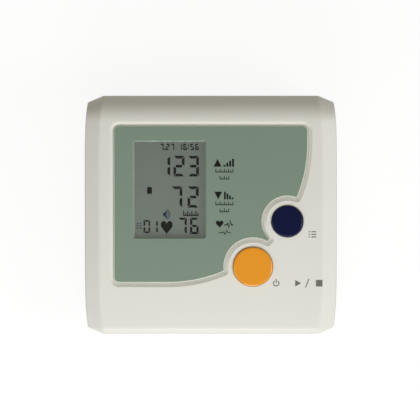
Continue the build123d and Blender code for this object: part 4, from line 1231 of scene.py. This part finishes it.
@dataclass
class Studio:
    """A white table, soft lamps before it and at both sides, and a camera square over it.

    The view and the sensor are in millimetres. The distances of the camera and the target, and half
    the table's width, are in metres.
    """

    view_width: float = 217.1
    view_centre: Point = (-0.42, 2.53)
    view_level: float = 35.0
    camera_distance: float = 4.0
    camera_reach: float = 40.0
    sensor: float = 36.0
    floor_half: float = 12.0
    floor_colour: str = "#C8C6C0"
    floor_glow: float = 0.9
    floor_shade: str = "#616161"
    sky_colour: str = "#FFF8E8"
    sky_strength: float = 0.3
    lamps: tuple[Lamp, ...] = (
        Lamp("front_lamp", (0.0, -0.38, 0.34), 0.24, 1.08, "#F8FBFF"),
        Lamp("right_lamp", (1.0, -0.35, 0.95), 0.6, 7.45, "#FFFFFF"),
        Lamp("left_lamp", (-0.38, -0.22, 0.25), 0.25, 0.36, "#FFFFFF"),
    )
    target: Vector = field(default_factory=lambda: Vector((0, 0, 0.03)))

    def build(self) -> None:
        """Set up the table, the sky, the lamps and the camera."""
        self.add_floor()
        self.add_sky()
        for lamp in self.lamps:
            self.add_lamp(lamp)
        self.add_camera()
        bpy.context.scene.view_settings.view_transform = "Standard"

    def add_floor(self) -> None:
        """A wide table that looks white, and still shows the monitor's shadow."""
        half = self.floor_half
        mesh = bpy.data.meshes.new("table_top")
        corners = [(-half, -half, 0), (half, -half, 0), (half, half, 0), (-half, half, 0)]
        mesh.from_pydata(corners, [], [(0, 1, 2, 3)])
        floor = bpy.data.objects.new("table_top", mesh)
        bpy.context.scene.collection.objects.link(floor)
        material = bpy.data.materials.new("paper_matt_white")
        material.use_nodes = True
        tree = material.node_tree
        tree.nodes.clear()
        rays = add_node(tree, "LightPath").outputs
        seen = rays["Is Camera Ray"]
        for kind in ("Is Glossy Ray", "Is Transmission Ray"):
            seen = add_node(tree, "Math", {"operation": "MAXIMUM"}, {0: seen, 1: rays[kind]}).outputs[0]
        glow = add_node(tree, "Emission", {"Strength": self.floor_glow}).outputs["Emission"]
        paper, shade = ({"Color": linear(code)} for code in (self.floor_colour, self.floor_shade))
        matt = add_node(tree, "BsdfDiffuse", paper).outputs["BSDF"]
        faint = add_node(tree, "BsdfDiffuse", shade).outputs["BSDF"]
        shown = add_node(tree, "AddShader", links={0: glow, 1: faint}).outputs["Shader"]
        both = add_node(tree, "MixShader", links={0: seen, 1: matt, 2: shown}).outputs["Shader"]
        add_node(tree, "OutputMaterial", links={"Surface": both})
        mesh.materials.append(material)

    def add_sky(self) -> None:
        """A dim warm surround, so that the sides away from the lamps keep some light."""
        world = bpy.data.worlds.new("surround")
        world.use_nodes = True
        background = world.node_tree.nodes["Background"]
        background.inputs["Color"].default_value = linear(self.sky_colour)
        background.inputs["Strength"].default_value = self.sky_strength
        bpy.context.scene.world = world

    def add_lamp(self, lamp: Lamp) -> None:
        """Hang one soft lamp, turned to the monitor.

        Args:
            lamp: the lamp to hang.
        """
        light = bpy.data.lights.new(lamp.name, "AREA")
        light.size = lamp.side
        light.energy = lamp.power
        light.color = linear(lamp.tint)[:3]
        holder = bpy.data.objects.new(lamp.name, light)
        holder.location = lamp.place
        way = self.target - Vector(lamp.place)
        holder.rotation_euler = way.to_track_quat("-Z", "Y").to_euler()
        bpy.context.scene.collection.objects.link(holder)

    def add_camera(self) -> None:
        """A long lens, straight above the table."""
        lens = bpy.data.cameras.new("camera")
        lens.sensor_width = self.sensor
        lens.lens = self.sensor * self.camera_distance / (self.view_width * MM)
        lens.clip_end = self.camera_reach
        camera = bpy.data.objects.new("camera", lens)
        level = self.view_level * MM + self.camera_distance
        camera.location = (self.view_centre[0] * MM, self.view_centre[1] * MM, level)
        bpy.context.scene.collection.objects.link(camera)
        bpy.context.scene.camera = camera


def main() -> None:
    """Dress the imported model, add the thin pieces, and set up the studio."""
    logging.basicConfig(level=logging.INFO, format="%(message)s")
    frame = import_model()
    nodes = frame["nodes"]
    face = Face.from_frame(frame, Faceplate.plate_depth)
    assemblies = (
        Casing(nodes), Faceplate(nodes, face), Display(nodes, face), Keys(nodes), Board(nodes),
        Batteries(nodes), AirPump(nodes), AirLine(nodes, frame["joints"]),
    )
    for assembly in assemblies:
        assembly.dress()
        assembly.build()
    Studio().build()


if __name__ == "__main__":
    main()
